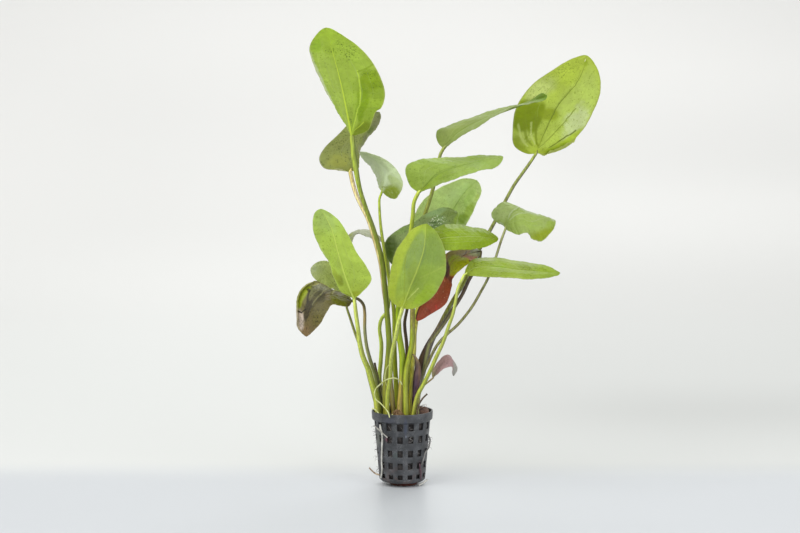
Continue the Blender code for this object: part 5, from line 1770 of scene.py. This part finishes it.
@dataclass
class SmallPieces:
    """The rolled young leaf, the ends of cut stalks, the crown and the roots."""

    rolled: Points = ((9.7, -6, 55.8), (9.7, -6, 68), (10.9, -7, 78), (12.5, -8, 90), (12.9, -8, 100),
                      (11.3, -8, 106.5), (8.6, -8, 110))
    rolled_radii: tuple[float, ...] = (1.3, 1.4, 1.9, 3.1, 3.3, 2.0, 0.5)
    stub_left: Points = ((-23, 4, 101), (-21, 5, 92), (-19, 5.5, 83), (-16, 6, 73), (-11.5, 6.5, 55.4))
    stub_right: Points = ((20.5, -14.5, 78), (16.3, -14.5, 73.5), (13, -14.5, 67), (12, -14, 55.4))
    crown_centre: tuple[float, float] = (-4.2, -11.0)
    crown_radius: float = 2.9
    crown_foot: float = 55.2
    crown_fibres: int = 60
    loose_fibres: int = 30
    hairs: int = 70

    def rolled_leaf(self, finish: Material) -> None:
        """Make the young rolled leaf as a closed tube that is a little fuller on one side."""
        line = curve_through(self.rolled, 90)
        knots = np.linspace(0, 1, len(self.rolled_radii))
        radii = np.interp(np.linspace(0, 1, len(line)), knots, self.rolled_radii)
        rod = RodBuilder(sides=36, ribs=1, rib_depth=0.13, seed=0.8)
        settle(rod.build("young_leaf_rolled", line, radii, finish), "leaf_purple", "leaf_young_rolled")

    def stubs(self, finishes: dict) -> None:
        """Make the ends of two cut stalks."""
        stubs = (("stub_left", self.stub_left, 0.9, 1.0), ("stub_right", self.stub_right, 0.7, 0.8))
        for name, knots, first, last in stubs:
            line = curve_through(knots, 50)
            rod = RodBuilder(sides=14, wobble=0.10, seed=2.0)
            piece = rod.build(f"cut_{name}", line, np.linspace(first, last, len(line)), finishes[name])
            settle(piece, "stalk_dark", name)

    def crown(self, finish: Material) -> None:
        """Make the fibrous base as a bundle of short upright strands."""
        draw = np.random.default_rng(5).uniform
        strands = Strands(sides=6)
        x, y = self.crown_centre
        for _ in range(self.crown_fibres):
            turn, away = draw(0, 2 * math.pi), self.crown_radius * math.sqrt(draw(0, 1))
            foot = np.array([x + away * math.cos(turn), y + away * math.sin(turn), self.crown_foot])
            height = draw(5.0, 12.5) * (1.1 - away / 5)
            lean = draw(-0.9, 0.9, 2)
            top = (x + (foot[0] - x) * 0.5 + lean[0], y + (foot[1] - y) * 0.5 + lean[1], foot[2] + height)
            knots = (foot, foot + (lean[0] * 0.4, lean[1] * 0.4, height * 0.5), top)
            strands.add(curve_through(knots, 8), draw(0.4, 0.75), 0.12)
        for _ in range(self.loose_fibres):
            turn, reach = draw(math.pi, 2 * math.pi), draw(4.0, 8.0)
            out = np.array([math.cos(turn), 0.6 * math.sin(turn), 0.0])
            foot = np.array([x, y, 0.0]) + out * 1.5
            steps = ((0.0, 60.0, 64.5), (0.5, 58.5, 62.0), (1.0, 56.2, 59.0))
            knots = [foot + out * reach * far + (0, 0, draw(low, high)) for far, low, high in steps]
            strands.add(curve_through(knots, 8), draw(0.25, 0.5), 0.15)
        settle(strands.build("crown_fibres", finish), "crown_fibre", "crown")

    def roots(self, finishes: dict) -> None:
        """Make the roots, and the fine hairs on and round them."""
        for root in ROOTS:
            line = curve_through(root.points, 80)
            radii = np.linspace(root.radius, root.radius * 0.8, len(line))
            rod = RodBuilder(sides=12, ribs=3, wobble=0.14, seed=len(root.points))
            settle(rod.build(f"outer_{root.name}", line, radii, finishes[root.finish]), root.slot, root.name)
        draw = np.random.default_rng(9).uniform
        strands = Strands(sides=4)
        for index in range(self.hairs):
            left = index % 5 != 0
            turn = draw(math.pi * 0.85, math.pi * 1.25) if left else draw(-0.4, 0.15)
            z = draw(10, 54) if left else draw(30, 46)
            radius = 19.0 + 4.3 * z / 55
            start = np.array([radius * math.cos(turn), radius * math.sin(turn), z])
            way = np.array([math.cos(turn), math.sin(turn), draw(-0.9, 0.4)])
            curl = draw(-1.2, 1.2, 3)
            length = draw(1.0, 2.6)
            knots = (start - way * 1.5, start + way * 0.6, start + way * length + curl * 0.8,
                     start + way * length * 0.7 + curl * 1.8 - (0, 0, 1.0))
            strands.add(curve_through(knots, 9), draw(0.1, 0.2), 0.06)
        settle(strands.build("root_hairs", finishes["root grey"]), "root_pale")


# Light, floor and camera


@dataclass
class Studio:
    """A pale table that curves up into a pale wall, soft lights and the camera, in metres."""

    camera_place: tuple[float, float, float] = (-0.0019, -1.55, 0.33)
    camera_pitch: float = 84.5
    lens: float = 85.0
    sensor: float = 36.0
    shift_y: float = 0.0015
    air: float = 0.75
    front: float = -3.0
    width: float = 10.0
    curve_start: float = 1.2
    curve_radius: float = 1.2
    wall_top: float = 4.0

    def floor(self, finish: Material) -> None:
        """Make the table and the wall in one curved sheet."""
        start, bend = self.curve_start, self.curve_radius
        line = [(self.front, 0.0), (0.0, 0.0), (start, 0.0)]
        turns = np.linspace(0.1, math.pi / 2, 16)
        line += [(start + bend * math.sin(turn), bend - bend * math.cos(turn)) for turn in turns]
        line += [(start + bend, self.wall_top)]
        points = [(x, y, z) for y, z in line for x in (-self.width / 2, self.width / 2)]
        mesh = bpy.data.meshes.new("studio_floor")
        mesh.from_pydata(points, [], [[2 * i, 2 * i + 1, 2 * i + 3, 2 * i + 2] for i in range(len(line) - 1)])
        mesh.shade_smooth()
        mesh.materials.append(finish)
        into_scene("studio_floor", mesh)

    @staticmethod
    def light(name: str, place: tuple, aim: float, size: float, power: float, colour: tuple) -> None:
        """Add one soft square light that looks at a height above the middle of the table."""
        data = bpy.data.lights.new(name, "AREA")
        data.size, data.energy, data.color = size, power, colour
        lamp = into_scene(name, data)
        x, y, z = place
        lamp.location = place
        lamp.rotation_euler = (math.atan2(math.hypot(x, y), z - aim), 0.0, math.atan2(x, -y))

    def build(self, effects: Effects) -> None:
        """Make the floor, the lights and the camera."""
        self.floor(FloorFinish().build("studio floor", effects))
        world = bpy.data.worlds.new("studio air")
        world.use_nodes = True
        sky = world.node_tree.nodes["Background"].inputs
        sky[0].default_value, sky[1].default_value = (1.0, 1.0, 1.0, 1.0), self.air
        scene = bpy.context.scene
        scene.world = world
        scene.view_settings.view_transform = "Standard"
        self.light("key", (-1.1, -1.2, 1.9), 0.2, 2.3, 34.0, (1.0, 0.99, 0.97))
        self.light("fill", (1.6, -1.4, 1.0), 0.2, 1.6, 14.0, (0.97, 0.99, 1.0))
        self.light("back", (0.3, 1.3, 1.7), 0.22, 1.2, 16.0, (1.0, 1.0, 1.0))
        data = bpy.data.cameras.new("camera")
        data.lens, data.sensor_width, data.shift_y = self.lens, self.sensor, self.shift_y
        scene.camera = into_scene("camera", data)
        scene.camera.location = self.camera_place
        scene.camera.rotation_euler = (math.radians(self.camera_pitch), 0.0, 0.0)


MATTER = {
    "medium": MatterFinish("#232121", "#454140", "#6a645f", high="#7d6156", low="#64342a"),
    "fibre": MatterFinish("#6b4a38", "#a88468", "#3c2a1e", grain=900.0),
    "crown": MatterFinish("#745a3c", "#987c5c", "#5a402e", grain=700.0, fleck_share=0.3),
    "root white": MatterFinish("#b9b8b0", "#dcdad2", "#a09a8c", roughness=0.6, fleck_share=0.2),
    "root dull": MatterFinish("#93918a", "#b4b1a9", "#7a756a", roughness=0.6, fleck_share=0.3),
    "root green": MatterFinish("#bcc274", "#dce1a8", "#97924f", roughness=0.5, fleck_share=0.2),
    "root grey": MatterFinish("#5c5a58", "#8b8886", "#3a3836", roughness=0.7, fleck_share=0.4),
    "root dark": MatterFinish("#453a3e", "#6a5058", "#2c2226", roughness=0.7, fleck_share=0.3),
    "root brown": MatterFinish("#7a6656", "#c4b094", "#5a483c", roughness=0.7, fleck_share=0.3),
}


def main() -> None:
    """Build the whole plant in its pot and the studio, logging each piece's number of faces."""
    logging.basicConfig(level=logging.INFO, format="%(name)s: %(message)s")
    effects = Effects()
    made = {name: finish.build(name, effects) for name, finish in MATTER.items()}
    stems = {name: finish.build(f"stalk {name}", effects) for name, finish in STEMS.items()}
    NetPot().build(PotFinish().build("pot plastic", effects))
    medium = GrowingMedium()
    medium.build(made["medium"])
    medium.entangle(made["root grey"])
    medium.scatter(made["fibre"])
    for leaf in LEAVES:
        LeafBuilder(leaf).build(effects, stems)
    small = SmallPieces()
    small.rolled_leaf(stems["rolled"])
    small.stubs(stems)
    small.crown(made["crown"])
    small.roots(made)
    Studio().build(effects)


if __name__ == "__main__":
    main()
